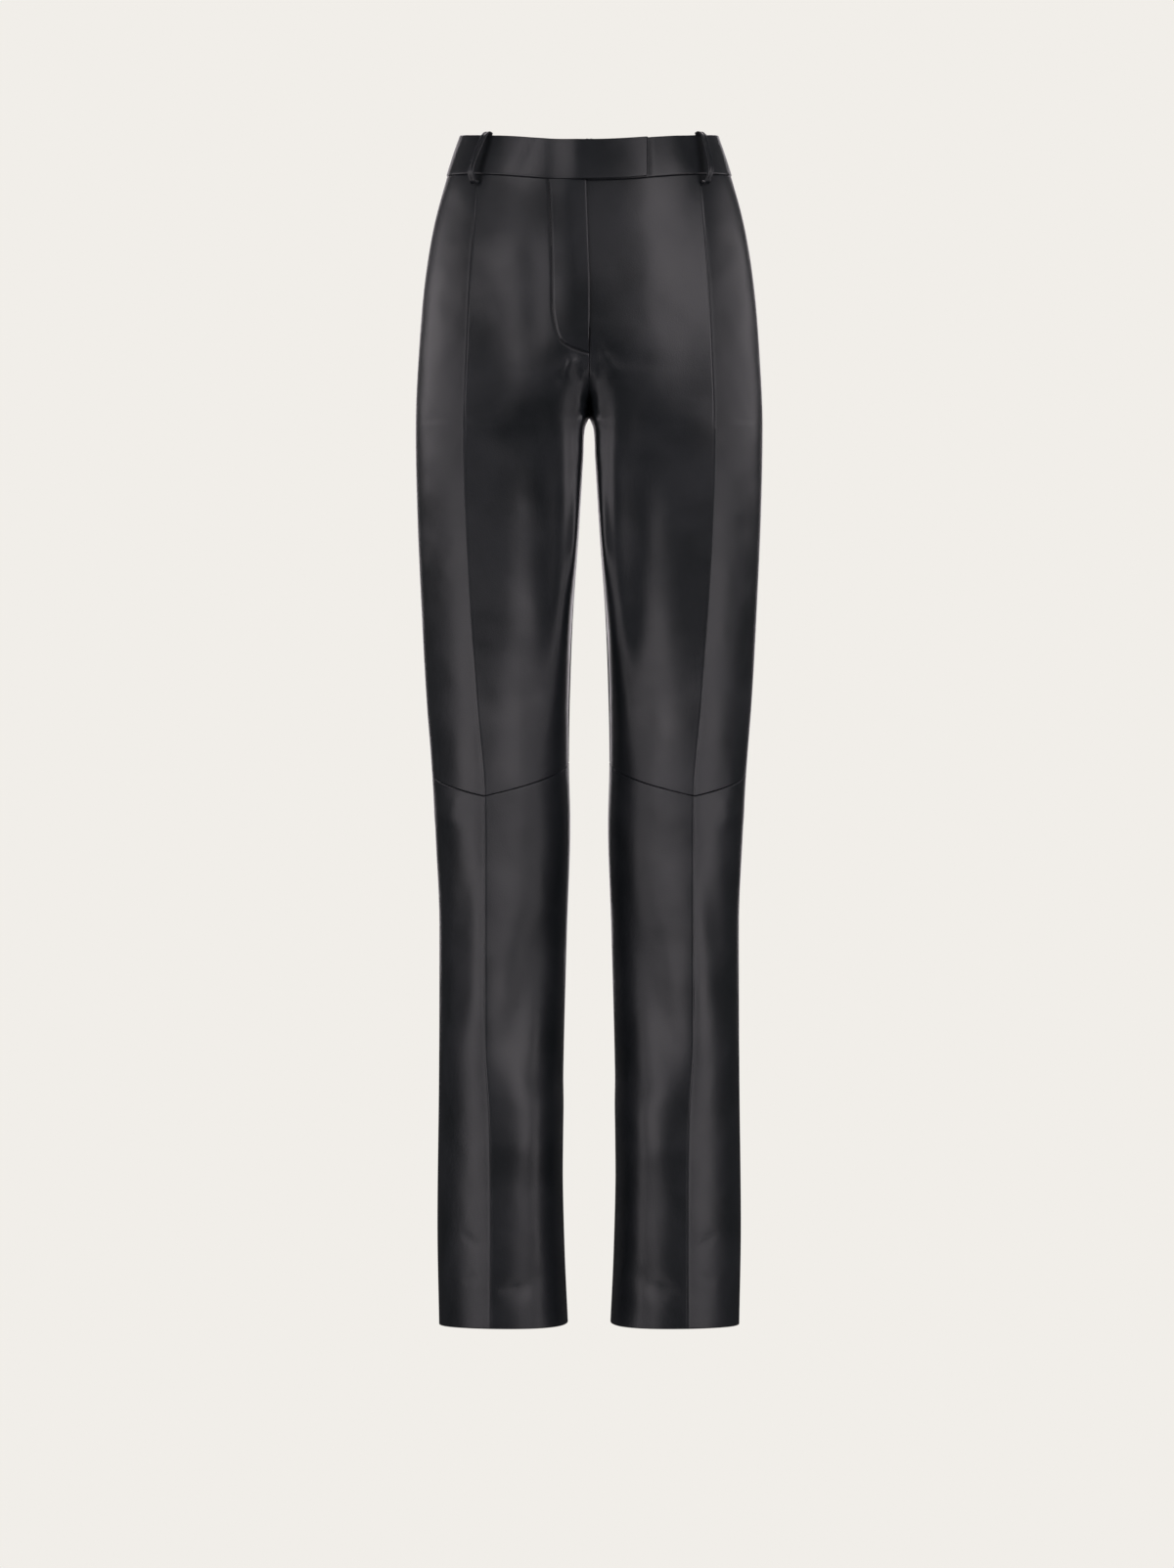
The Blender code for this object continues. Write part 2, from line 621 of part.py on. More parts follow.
def spline(knots, steps):
    """A smooth line through points, Catmull-Rom."""
    padded = np.vstack([2 * knots[0] - knots[1], knots, 2 * knots[-1] - knots[-2]])
    places = np.linspace(0, len(knots) - 1, steps + 1)
    i = np.minimum(places.astype(int), len(knots) - 2)
    t = (places - i)[:, None]
    a, b, c, d = padded[i], padded[i + 1], padded[i + 2], padded[i + 3]
    return 0.5 * (2 * b + (c - a) * t + (2 * a - 5 * b + 4 * c - d) * t**2 + (3 * b - 3 * c + d - a) * t**3)


def make_belt_loop(name, side, front, share_at_top, share_at_seam, collection):
    """A strip bent along its path, standing in the upright plane that faces out at its place. Its shares
    say where it lies across the section at the band's top edge and at its seam."""

    def surface(at):
        share = np.interp(at, (WAIST_SEAM, WAIST_TOP), (share_at_seam, share_at_top))
        shares = np.clip(share + np.array([-SHARE_STEP, 0.0, SHARE_STEP]), 0.0, 1.0)
        points = half_sections(front, np.array([at]), shares)[0]
        return points[1] * [side, 1, 1], (points[2] - points[0]) * [side, 1, 0]

    base, run = surface((WAIST_TOP + WAIST_SEAM) / 2)
    out = np.array([run[1], -run[0], 0.0])
    out *= np.sign(out @ base) / np.linalg.norm(out)
    run = np.array([-out[1], out[0], 0.0])
    levels = {}
    slides = []
    for level, at, outset in LOOP_LEVELS["rows"]:
        point, _ = surface(at)
        levels[level] = ((point - base) @ out + outset, point[2])
        slides.append((point[2], (point - base) @ run))
    path = loop_path(levels)
    slide_z, slide = zip(*sorted(slides))
    middle = base + np.outer(path[:, 0], out) + np.outer(np.interp(path[:, 1], slide_z, slide), run)
    middle[:, 2] = path[:, 1]
    columns = np.linspace(-LOOP_WIDTH / 2, LOOP_WIDTH / 2, 3)
    grid = middle[:, None, :] + columns[None, :, None] * run
    strip = wall_from_grid(name, grid, LOOP_WALL, True, NAPPA, collection)
    strip.modifiers["leather thickness"].offset = 0.0


def box_mesh(name, size, centre=(0.0, 0.0, 0.0)):
    mesh = bpy.data.meshes.new(name)
    shape = bmesh.new()
    bmesh.ops.create_cube(shape, size=1.0)
    bmesh.ops.scale(shape, vec=Vector(size) * MM, verts=shape.verts)
    bmesh.ops.translate(shape, vec=Vector(centre) * MM, verts=shape.verts)
    shape.to_mesh(mesh)
    shape.free()
    return mesh


def front_point(x, at):
    """The point of the bare front at a distance from the middle, on the section named by its height."""
    section = half_sections(True, np.array([at]), np.linspace(0.5, 1.0, FRONT_STEPS))[0][::-1]
    y, z = (np.interp(abs(x), section[:, 0], section[:, i]) for i in (1, 2))
    return Vector((x, y, z))


def front_frame(x, at):
    """A frame on the bare front: X to the wearer's right, Y out, Z up."""
    along = front_point(x - STEP, at) - front_point(x + STEP, at)
    up = front_point(x, at + STEP) - front_point(x, at - STEP)
    out = up.cross(along).normalized()
    up.normalize()
    frame = Matrix((out.cross(up), out, up)).transposed().to_4x4()
    frame.translation = front_point(x, at) * MM
    return frame


def make_zip(collection):
    """A closed zip behind the fly: two tapes and their chain as one strip, and its slider with the pull."""
    half_tape, half_chain = TAPE_WIDTH / 2, CHAIN_WIDTH / 2
    outline = (
        (-half_tape, 0.0), (-half_chain, 0.0), (-half_chain, CHAIN_HEIGHT), (half_chain, CHAIN_HEIGHT),
        (half_chain, 0.0), (half_tape, 0.0), (half_tape, -TAPE_WALL), (-half_tape, -TAPE_WALL),
    )
    shape = bmesh.new()
    rings = []
    for at in np.linspace(ZIP_TOP, ZIP_BOTTOM, ZIP_STEPS + 1):
        ring = []
        for x, out in outline:
            point = front_point(ZIP_X + x, at)
            point.y += ZIP_DEPTH - out
            ring.append(shape.verts.new(point * MM))
        rings.append(ring)
    for upper, lower in zip(rings, rings[1:]):
        for i in range(len(outline)):
            j = (i + 1) % len(outline)
            shape.faces.new((upper[i], lower[i], lower[j], upper[j]))
    shape.faces.new(rings[0])
    shape.faces.new(rings[-1])
    bmesh.ops.recalc_face_normals(shape, faces=shape.faces)
    mesh = bpy.data.meshes.new("fly_zip")
    shape.to_mesh(mesh)
    shape.free()
    new_object("fly_zip", mesh, ZIP_TAPE, collection)

    frame = front_frame(ZIP_X, ZIP_TOP)
    body = box_mesh(
        "zip_slider",
        (SLIDER_WIDTH, SLIDER_DEPTH, SLIDER_LENGTH),
        (0.0, PULL_OUT - SLIDER_DEPTH / 2, SLIDER_LENGTH / 2 + 2 * SEAM),
    )
    slider = new_object("zip_slider", body, GUNMETAL, collection)
    slider.matrix_world = frame
    pull = box_mesh(
        "pull",
        (PULL_WIDTH, PULL_WALL, PULL_LENGTH),
        (0.0, PULL_OUT - PULL_WALL / 2, SLIDER_LENGTH - PULL_LENGTH / 2 - SEAM),
    )
    tool = bpy.data.objects.new("pull", pull)
    tool.hide_render = True
    tool.display_type = "WIRE"
    tool.matrix_world = frame
    helpers.objects.link(tool)
    join = slider.modifiers.new("pull on slider", "BOOLEAN")
    join.operation = "UNION"
    join.object = tool


def make_hook_and_bar(collection):
    """A flat hook behind the tab, over a flat bar on the left band."""
    frame = front_frame(HOOK_X, (WAIST_TOP + WAIST_SEAM) / 2)
    bar_depth = BAND_OUTSET + SEAM + BAR_PLATE[1] / 2
    hook_depth = bar_depth + (BAR_PLATE[1] + HOOK_PLATE[1]) / 2 + SEAM
    for name, plate, depth in (("waist_bar", BAR_PLATE, bar_depth), ("waist_hook", HOOK_PLATE, hook_depth)):
        made = new_object(name, box_mesh(name, plate, (0.0, depth, 0.0)), GUNMETAL, collection)
        made.matrix_world = frame


for old in list(bpy.data.objects):
    bpy.data.objects.remove(old)
trousers = bpy.data.collections.new("leather trousers")
helpers = bpy.data.collections.new("joined shapes")
for group in (trousers, helpers):
    bpy.context.scene.collection.children.link(group)

make_legs(trousers)
make_waistband(trousers)
for row in BELT_LOOPS["rows"]:
    make_belt_loop(*row, trousers)
make_zip(trousers)
make_hook_and_bar(trousers)
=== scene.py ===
"""Leather trousers in worn, hollow form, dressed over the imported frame.

Metres in Blender, millimetres in the tables. The front faces -Y and the wearer's right leg is at -X. The
origin is the middle of the waist opening.
"""

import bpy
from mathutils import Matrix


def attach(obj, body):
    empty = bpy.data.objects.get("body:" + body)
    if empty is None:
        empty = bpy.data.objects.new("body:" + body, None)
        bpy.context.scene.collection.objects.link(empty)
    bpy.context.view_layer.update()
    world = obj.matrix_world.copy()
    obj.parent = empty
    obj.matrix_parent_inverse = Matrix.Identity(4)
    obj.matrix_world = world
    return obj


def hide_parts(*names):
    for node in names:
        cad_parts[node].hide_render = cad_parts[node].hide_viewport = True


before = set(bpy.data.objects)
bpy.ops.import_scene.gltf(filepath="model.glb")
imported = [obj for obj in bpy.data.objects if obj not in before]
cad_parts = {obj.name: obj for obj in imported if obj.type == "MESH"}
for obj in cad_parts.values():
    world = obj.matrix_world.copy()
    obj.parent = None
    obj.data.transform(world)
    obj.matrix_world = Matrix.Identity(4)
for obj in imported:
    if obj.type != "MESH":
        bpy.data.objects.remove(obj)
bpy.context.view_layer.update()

import math
from functools import partial

import bmesh
import bpy
import numpy as np
from mathutils import Vector
from mathutils.bvhtree import BVHTree


# ------------------------------------------------------------
# Studio: a camera level with the knees, a pale floor that sweeps up into a wall all round, and softboxes.
# The backdrop is painted board that only the camera sees: it neither lights nor shades the leather.
MM = 0.001
CAMERA_PLACE = (-0.002, -5.0, -0.597)
PICTURE_HEIGHT = 1603
MM_PER_PIXEL = 0.9
SENSOR = 36.0
BACKDROP_HEX = "F1EEE9"
FLOOR_HEIGHT = -1.40
STUDIO_RADIUS = 9.0
STUDIO_COVE = 3.0
COVE_STEPS = 12
TURN_STEPS = 64


def linear(hex_colour):
    """An sRGB hex colour as linear red, green and blue, with full alpha."""
    parts = [int(hex_colour[i : i + 2], 16) / 255 for i in (0, 2, 4)]
    return [*(p / 12.92 if p <= 0.04045 else ((p + 0.055) / 1.055) ** 2.4 for p in parts), 1.0]


def placed(name, data):
    """An object in the scene, made from its data."""
    thing = bpy.data.objects.new(name, data)
    bpy.context.scene.collection.objects.link(thing)
    return thing


camera_data = bpy.data.cameras.new("camera")
camera = placed("camera", camera_data)
camera.location = CAMERA_PLACE
camera.rotation_euler = (math.radians(90), 0.0, 0.0)
camera_data.sensor_width = SENSOR
camera_data.lens = SENSOR * -CAMERA_PLACE[1] / (PICTURE_HEIGHT * MM_PER_PIXEL * MM)
bpy.context.scene.camera = camera
bpy.context.scene.view_settings.view_transform = "Standard"


def add_node(tree, kind, inputs=None, links=(), **settings):
    """One node with its input values and settings. Each link is (input, node that feeds it, its output)."""
    node = tree.nodes.new(kind)
    for name, value in settings.items():
        setattr(node, name, value)
    for name, value in (inputs or {}).items():
        node.inputs[name].default_value = value
    for name, source, output in links:
        tree.links.new(source.outputs[output], node.inputs[name])
    return node


def new_material(name):
    """An empty material, what adds a node to it, and the link that gives a node the piece's coordinates."""
    made = bpy.data.materials.new(name)
    made.use_nodes = True
    made.node_tree.nodes.clear()
    add = partial(add_node, made.node_tree)
    return made, add, [("Vector", add("ShaderNodeTexCoord"), "Object")]


def surfaced(made, shader):
    """The material, with its last shader as its surface."""
    add_node(made.node_tree, "ShaderNodeOutputMaterial", links=[("Surface", shader, 0)])
    return made


def painted_backdrop():
    """Matt cream paint, lit evenly so that it shows one flat tone."""
    made, add, _ = new_material("matt cream backdrop paint")
    return surfaced(made, add("ShaderNodeEmission", {"Color": linear(BACKDROP_HEX)}))


def make_studio():
    """Floor, cove and wall as one turned sheet."""
    profile = [(0.0, 0.0), (STUDIO_RADIUS - STUDIO_COVE, 0.0)]
    for step in range(1, COVE_STEPS + 1):
        turn = math.radians(90) * step / COVE_STEPS
        across = STUDIO_RADIUS - STUDIO_COVE + STUDIO_COVE * math.sin(turn)
        profile.append((across, STUDIO_COVE * (1 - math.cos(turn))))
    profile.append((STUDIO_RADIUS, STUDIO_RADIUS))
    profile.append((0.0, STUDIO_RADIUS))
    shape = bmesh.new()
    corners = [shape.verts.new((x, 0.0, z + FLOOR_HEIGHT)) for x, z in profile]
    line = corners + [shape.edges.new(pair) for pair in zip(corners, corners[1:])]
    bmesh.ops.spin(shape, geom=line, cent=(0, 0, 0), axis=(0, 0, 1), angle=math.tau, steps=TURN_STEPS)
    bmesh.ops.remove_doubles(shape, verts=shape.verts, dist=MM)
    mesh = bpy.data.meshes.new("studio")
    shape.to_mesh(mesh)
    shape.free()
    mesh.shade_smooth()
    mesh.materials.append(painted_backdrop())
    studio = placed("studio", mesh)
    studio.visible_diffuse = False
    studio.visible_glossy = False
    studio.visible_shadow = False


make_studio()

# Each softbox in degrees round from the camera's side, metres and watts, with the height that it aims at.
# The side and low ones light the leather outside the creases, the front and high ones what is between them,
# the under ones what faces down beside the fork, and the rear and back ones the back.
SOFTBOXES = (
    ("name", "azimuth", "z", "distance", "aim", "width", "height", "power"),
    ("side_right", -112, 0.12, 2, -0.18, 1.6, 0.6, 4.2),
    ("side_left", 112, 0.12, 2, -0.18, 1.6, 0.6, 3.7),
    ("front_right", -46, -0.35, 2.6, -0.65, 1.3, 1.2, 12.4),
    ("high_right", -44, 1.5, 2.6, -0.1, 1.3, 0.7, 10),
    ("front_left", 44, 0.3, 2.6, -0.1, 1.4, 2.5, 25.4),
    ("low_right", -80, -0.85, 2.6, -1.15, 0.9, 1.4, 8),
    ("low_left", 80, -0.85, 2.6, -1.15, 0.9, 1.4, 8),
    ("under_right", -46, -1.95, 2.3, -2.25, 1.2, 0.9, 6),
    ("under_left", 46, -1.95, 2.3, -2.25, 1.2, 0.9, 6),
    ("fill", 8, 1.1, 7, -0.1, 3.4, 2.4, 18),
    ("rear_right", -150, 2.2, 2.8, -0.1, 1.2, 1.2, 18),
    ("rear_left", 150, 2.2, 2.8, -0.1, 1.2, 1.2, 18),
    ("back", 180, 0.3, 3.2, -0.1, 2.2, 2.4, 34),
    ("overhead", 0, 1.9, 0.2, 0, 1.6, 1.6, 8),
)
WORLD_STRENGTH = 0.03
SOFTBOX_HEX = "FCF4F9"

for name, azimuth, z, distance, aim, width, height, power in SOFTBOXES[1:]:
    light = bpy.data.lights.new(name, "AREA")
    light.color = linear(SOFTBOX_HEX)[:3]
    light.shape = "RECTANGLE"
    light.size, light.size_y = width, height
    light.energy = power
    lamp = placed(name, light)
    turn = math.radians(azimuth)
    lamp.location = (distance * math.sin(turn), -distance * math.cos(turn), z)
    lamp.rotation_euler = (lamp.location - Vector((0.0, 0.0, aim))).to_track_quat("Z", "Y").to_euler()
    lamp.visible_camera = False
world = bpy.data.worlds.new("studio air")
world.use_nodes = True
air = world.node_tree.nodes["Background"]
air.inputs["Color"].default_value = linear("FFFFFF")
air.inputs["Strength"].default_value = WORLD_STRENGTH
bpy.context.scene.world = world


# ------------------------------------------------------------
# Legs: eight panels of black nappa, four to a leg because a skin is too short for a whole one. Each is cut
# flat, sewn edge to edge with its allowances opened and glued, and pressed with a crease front and back.
# A leg is named by the sign of its x.
RIGHT = -1
LEFT = 1
LEATHER = 1.2
SEAM = 0.3

WAIST_TOP = 0.0
WAIST_SEAM = -38.0
CROTCH = -270.0
KNEE_SEAM = -587.0
HEM = -1094.0

# The lines that shape a leg. Each row is a section, named by its height at the side seam ("at"). x is the
# distance from the middle, y is the depth (the front is negative), and drop is the line's height less "at".
SIDE_SEAM = (
    ("at", "x", "y"),
    (WAIST_TOP, 118, 3),
    (-19, 124.7, 3.5),
    (WAIST_SEAM, 130.6, 4),
    (-83, 142.7, 5),
    (-137, 151.5, 6),
    (-200, 156.8, 6),
    (CROTCH, 159.7, 6),
    (-340, 158.4, 4),
    (-430, 154.6, 3),
    (-520, 149.6, 2),
    (KNEE_SEAM, 144.5, 2),
    (-650, 141, 2),
    (-731, 137.8, 2),
    (-866, 138.2, 2),
    (-1001, 139.6, 1),
    (HEM, 138, 0),
)
FRONT_CREASE = (
    ("at", "x", "y", "drop"),
    (WAIST_TOP, 90.5, -58, -7),
    (WAIST_SEAM, 100.5, -64.5, -5),
    (-83, 105, -71, -3),
    (-137, 109, -76, -2),
    (-200, 112, -79.5, -1),
    (CROTCH, 114.3, -81, -2),
    (-340, 113.2, -83, -1),
    (-430, 109, -83, -1),
    (-520, 102.5, -81, -5),
    (KNEE_SEAM, 95.5, -79, -21),
    (-650, 95.2, -77, -10),
    (-731, 95.2, -77, -4),
    (-830, 95, -78.5, 0),
    (-900, 91, -80.5, 0),
    (-1001, 89.8, -83, 2),
    (HEM, 90, -85, 4),
)
CENTRE_FRONT = (
    ("at", "x", "y", "drop"),
    (WAIST_TOP, 0, -91, -15),
    (WAIST_SEAM, 0, -98.5, -14),
    (-83, 0, -103, -8),
    (-130, 0, -104, -4),
    (-175, 0, -101, -2),
    (-208, 0, -96, 0),
    (-234, 0, -87, 3),
    (-252, 0, -67, 6),
    (-263, 0, -38, 8),
    (CROTCH, 0, 2, 10),
)
CENTRE_BACK = (
    ("at", "x", "y", "drop"),
    (WAIST_TOP, 0, 92, 5),
    (WAIST_SEAM, 0, 99, 5),
    (-83, 0, 112, 4),
    (-130, 0, 120, 2),
    (-175, 0, 119, 0),
    (-208, 0, 108, 0),
    (-234, 0, 88, 3),
    (-252, 0, 58, 6),
    (CROTCH, 0, 2, 10),
)
INSEAM = (
    ("at", "x", "y", "drop"),
    (CROTCH, 0, 2, 10),
    (-279, 3.8, 2, 9),
    (-303, 5.4, 2, 6),
    (-371, 9.7, 3, 2),
    (-438, 14.6, 3, 1),
    (-520, 17.7, 2, 3),
    (KNEE_SEAM, 18.6, 2, 10),
    (-640, 17.3, 2, 6),
    (-731, 20.3, 2, 2),
    (-866, 23.8, 2, 0),
    (-940, 24.3, 1, 0),
    (-1030, 22.4, 0, 1),
    (HEM, 19.5, 0, 2),
)
BACK_CREASE = (
    ("at", "x", "y", "drop"),
    (WAIST_TOP, 78, 68, 3),
    (WAIST_SEAM, 86, 74, 3),
    (-83, 94, 88, 2),
    (-150, 97, 101, 0),
    (-208, 96, 102, 0),
    (CROTCH, 93, 93, -1),
    (-340, 92, 86, 0),
    (-470, 91, 79, 0),
    (KNEE_SEAM, 88, 72, 2),
    (-700, 87, 78, 0),
    (-800, 86, 83, 0),
    (-950, 86, 84, 0),
    (HEM, 86, 86, 1),
)

# How a section turns as it meets its lines, in degrees from straight across, and how far the curve between
# two lines holds its direction, as a share of the distance between its ends.
TURNS = (
    (
        "at", "front_outer", "front_inner", "front_fork", "front_full", "back_outer", "back_inner",
        "back_fork", "back_full",
    ),
    (WAIST_TOP, 41, 38, 0, 0.37, 34, 33, 0, 0.37),
    (WAIST_SEAM, 41, 36, 0, 0.37, 34, 32, 0, 0.37),
    (-83, 43, 30, 0, 0.37, 30, 27, 4, 0.37),
    (-150, 44, 20, 0, 0.36, 24, 18, 12, 0.37),
    (-208, 44, 11.7, 4.5, 0.45, 22, 12, 26, 0.37),
    (-222, 44, 10.3, 9, 0.44, 22, 10.7, 36, 0.37),
    (-234, 43.5, 9.1, 27, 0.35, 22, 9.5, 46, 0.38),
    (-244, 43, 8.9, 54, 0.32, 22, 8.8, 55, 0.39),
    (-252, 43, 10, 76.5, 0.38, 22, 8.2, 67, 0.42),
    (-258, 43, 10.2, 84, 0.48, 22, 8, 74, 0.45),
    (-263, 43, 10.7, 88, 0.57, 22, 8, 79, 0.47),
    (CROTCH, 42, 10, 90, 0.7, 22, 8, 84, 0.5),
    (-284, 42, 6.5, 90, 0.74, 22, 7, 90, 0.5),
    (-304, 41, 1.5, 90, 0.75, 21.4, 6.1, 90, 0.49),
    (-340, 40, -4, 90, 0.76, 20, 4, 90, 0.46),
    (-380, 38.5, -6.5, 90, 0.77, 19, 1, 90, 0.44),
    (-460, 37, -11, 90, 0.7, 18, -1, 90, 0.43),
    (-520, 35.5, -14.5, 90, 0.55, 18, -4, 90, 0.41),
    (KNEE_SEAM, 33, -15, 90, 0.42, 18, -6, 90, 0.38),
    (-731, 32, -16, 90, 0.38, 19, -6, 90, 0.37),
    (-830, 32, -9, 90, 0.41, 20, -6, 90, 0.36),
    (-930, 33, 0, 90, 0.46, 22, -7, 90, 0.35),
    (HEM, 34, 3, 90, 0.46, 24, -8, 90, 0.34),
)
HANDLE = 0.37

# Folds: soft troughs (negative) and ridges between two points of the front or back, by x from the middle
# and height. Side is the leg, or 0 for both. The broad ones come first, as the frame has them, and then the
# finer creases: where the fork pulls, where the knee bends and where the hem breaks.
FRONT_FOLDS = (
    ("side", "x_1", "z_1", "x_2", "z_2", "width", "height"),
    (0, 10, -206, 26, -232, 7, 1.3),
    (0, 30, -262, 96, -300, 16, -1.2),
    (RIGHT, 50, -80, 48, -232, 15, -1.6),
    (RIGHT, 74, -96, 80, -330, 24, -2.8),
    (LEFT, 80, -214, 74, -350, 22, -2.4),
    (0, 17.5, -220, 27, -500, 8, 1.6),
    (0, 48, -180, 43, -640, 21, -6),
    (0, 36, -700, 84, -880, 17, -3),
    (0, 40, -860, 62, -960, 22, 2),
    (0, 112, -650, 128, -850, 14, -2.4),
    (0, 30, -1040, 84, -1060, 12, -1.4),
    (0, 118, -600, 134, -640, 10, 1.6),
    (RIGHT, 13, -209, 25, -231, 2.6, 0.8),
    (RIGHT, 18, -214, 30, -240, 3, -0.7),
    (LEFT, 9, -198, 15, -216, 3, 0.8),
    (LEFT, 15, -206, 21, -226, 2.4, 0.9),
    (LEFT, 13, -200, 24, -240, 4, -0.6),
    (0, 6, -234, 13, -268, 3.4, 0.8),
    (0, 60, -1048, 86, -1056, 3, -0.6),
    (0, 98, -1020, 118, -1002, 4, -0.4),
    (0, 100, -1040, 116, -1052, 4, -0.4),
)
BACK_FOLDS = (
    ("side", "x_1", "z_1", "x_2", "z_2", "width", "height"),
    (0, 20, -236, 80, -262, 15, -2.6),
    (0, 30, -270, 110, -292, 14, 2),
    (0, 36, -300, 96, -322, 14, -1.8),
    (0, 40, -560, 120, -548, 13, -2.2),
    (0, 44, -602, 118, -612, 14, 2),
    (0, 40, -640, 104, -628, 13, -2),
    (0, 44, -980, 70, -760, 18, -2),
    (0, 14, -250, 60, -286, 4, 0.7),
    (0, 20, -262, 54, -300, 3.6, -0.6),
    (0, 50, -574, 112, -566, 4, 0.6),
    (0, 52, -620, 104, -616, 4, -0.5),
    (0, 60, -540, 126, -528, 5, 0.5),
)
FOLD_FADE = 0.35

# The fly's stitched J, by x from the middle and height, and how the leather stands out inside it.
FLY_STITCH = (
    ("x", "z"),
    (36.6, -50),
    (35, -69),
    (34.2, -102),
    (33.9, -137),
    (33.6, -168),
    (32.2, -178),
    (29.8, -188),
    (26.4, -195.5),
    (22.4, -199.5),
    (15, -203.5),
    (8, -206),
    (-4, -209.5),
)
FLAP_EDGE = (1.2, 0.6, 2.4)
FLAP_SLOPE = (1.1, 0.0, 22.0)
FLAP_OVERHANG = (0.6, -3.0)
FLY_STRAIGHT = -140.0
UNDERLAP = 8.0
UNDERLAP_END = -188.0
UNDERLAP_RAMP = 16.0
# The groove that the stitches lie in: its depth and width, and where it fades out past the middle.
STITCH_GROOVE = (0.7, 1.1)
GROOVE_END = -1.0
GROOVE_FADE = 2.0

# How the leather rolls over at a seam and at the fly's edge (across, down), the rim it keeps there, how near
# the middle a sewn seam closes its gap, and how nearly the side seams are shut.
SEAM_ROLL = (0.9, 0.9)
FLY_ROLL = (2.0, 1.1)
RIM = 0.1
SEAM_REACH = 5.0
SIDE_GAP = 0.02

# The crease's pressed ridge (height, width) and the fine line inside it (depth, width, place), and how far
# below the band they begin and over what length they rise.
CREASE_RIDGE = (0.15, 1.6)
CREASE_LINE = (0.32, 0.55, 1.3)
CREASE_START = 6.0
CREASE_RAMP = 60.0

# How the front turns into the inseam at the top of the leg (depth, sharpness, width). Then how near the
# middle it starts, the depth over which it fades out ahead of the seam, and the heights where it ends, with
# the lengths over which it fades there.
TURN_IN = (22.0, 2.4, 14.0)
TURN_IN_NEAREST = 6.2
TURN_IN_SEAM = 50.0
TURN_IN_TOP = -250.0
TURN_IN_END = -440.0
TURN_IN_RAMPS = (32.0, 70.0)

# How far apart a panel's points lie, in mm: at shares of a section, and at heights down the upper and lower
# panels. The right front is finer round the fly's J.
ACROSS_STEPS = (
    ("share", "plain", "by_fly"),
    (0, 0.3, 0.3),
    (0.02, 0.9, 0.9),
    (0.08, 3, 3),
    (0.44, 3, 3),
    (0.48, 0.8, 0.8),
    (0.49, 0.35, 0.35),
    (0.51, 0.35, 0.35),
    (0.52, 0.8, 0.8),
    (0.56, 3, 3),
    (0.78, 3, 2.4),
    (0.81, 3, 0.8),
    (0.85, 3, 0.6),
    (0.92, 3, 0.9),
    (0.985, 0.9, 0.9),
    (1, 0.3, 0.3),
)
UPPER_STEPS = (
    ("z", "plain", "by_fly"),
    (WAIST_SEAM, 0.3, 0.3),
    (WAIST_SEAM - 3, 0.9, 0.9),
    (WAIST_SEAM - 10, 3, 1.4),
    (-168, 3, 1.4),
    (-184, 3, 0.9),
    (-214, 3, 0.9),
    (-226, 3, 3),
    (-244, 3, 3),
    (-256, 1.6, 1.6),
    (-284, 1.6, 1.6),
    (-300, 3, 3),
    (KNEE_SEAM + 10, 3, 3),
    (KNEE_SEAM + 3, 0.9, 0.9),
    (KNEE_SEAM, 0.3, 0.3),
)
LOWER_STEPS = (
    ("z", "plain"),
    (KNEE_SEAM, 0.3),
    (KNEE_SEAM - 3, 0.9),
    (KNEE_SEAM - 10, 3),
    (HEM + 10, 3),
    (HEM + 3, 0.9),
    (HEM, 0.3),
)
SECTION_LENGTH = 190.0
SPACING_SAMPLES = 4000
# The share of a section over which its inner edge is drawn past or short of the middle, and how many points
# show which way the edge runs.
EDGE_SHARE = 0.25
EDGE_POINTS = 4

# Above this height the sections level out as they meet the middle.
LEVEL_FROM = -110.0

# A front's turns near the fork are eased over so many mm of height, within so far of this height and between
# these distances from the middle, fading in and out.
FORK_EASE = 22.0
FORK_HEIGHT = -258.0
FORK_REACH = 90.0
FORK_INNER = (5.0, 12.0)
FORK_OUTER = (104.0, 70.0)
FORK_SAMPLES = 120


def smooth_rows(table, at):
    """Every column of a table but the first at the heights asked for, on monotone cubic curves."""
    rows = np.array(table[1:], float)[::-1]
    knots, values = rows[:, 0], rows[:, 1:]
    step = np.diff(knots)[:, None]
    slope = np.diff(values, axis=0) / step
    tangent = np.vstack([slope[:1], (slope[1:] + slope[:-1]) / 2, slope[-1:]])
    turning = slope[1:] * slope[:-1] <= 0
    tangent[1:-1][turning] = 0
    steepest = 3 * np.minimum(np.abs(np.vstack([slope[:1], slope])), np.abs(np.vstack([slope, slope[-1:]])))
    tangent = np.clip(tangent, -steepest, steepest)
    at = np.clip(np.asarray(at, float), knots[0], knots[-1])
    i = np.clip(np.searchsorted(knots, at, side="right") - 1, 0, len(knots) - 2)
    h = step[i]
    t = ((at - knots[i])[:, None]) / h
    return (
        (2 * t**3 - 3 * t**2 + 1) * values[i]
        + (t**3 - 2 * t**2 + t) * h * tangent[i]
        + (3 * t**2 - 2 * t**3) * values[i + 1]
        + (t**3 - t**2) * h * tangent[i + 1]
    )


def line_points(table, at):
    """A line's points x, y, z at the heights asked for."""
    found = smooth_rows(table, at)
    drop = found[:, 2] if found.shape[1] > 2 else 0.0
    return np.stack([found[:, 0], found[:, 1], at + drop], axis=1)


def middle_points(front, at):
    """The panel's inner edge: the middle seam down to the crotch, and the inseam below it."""
    above = line_points(CENTRE_FRONT if front else CENTRE_BACK, np.maximum(at, CROTCH))
    below = line_points(INSEAM, np.minimum(at, CROTCH))
    return np.where((at >= CROTCH)[:, None], above, below)


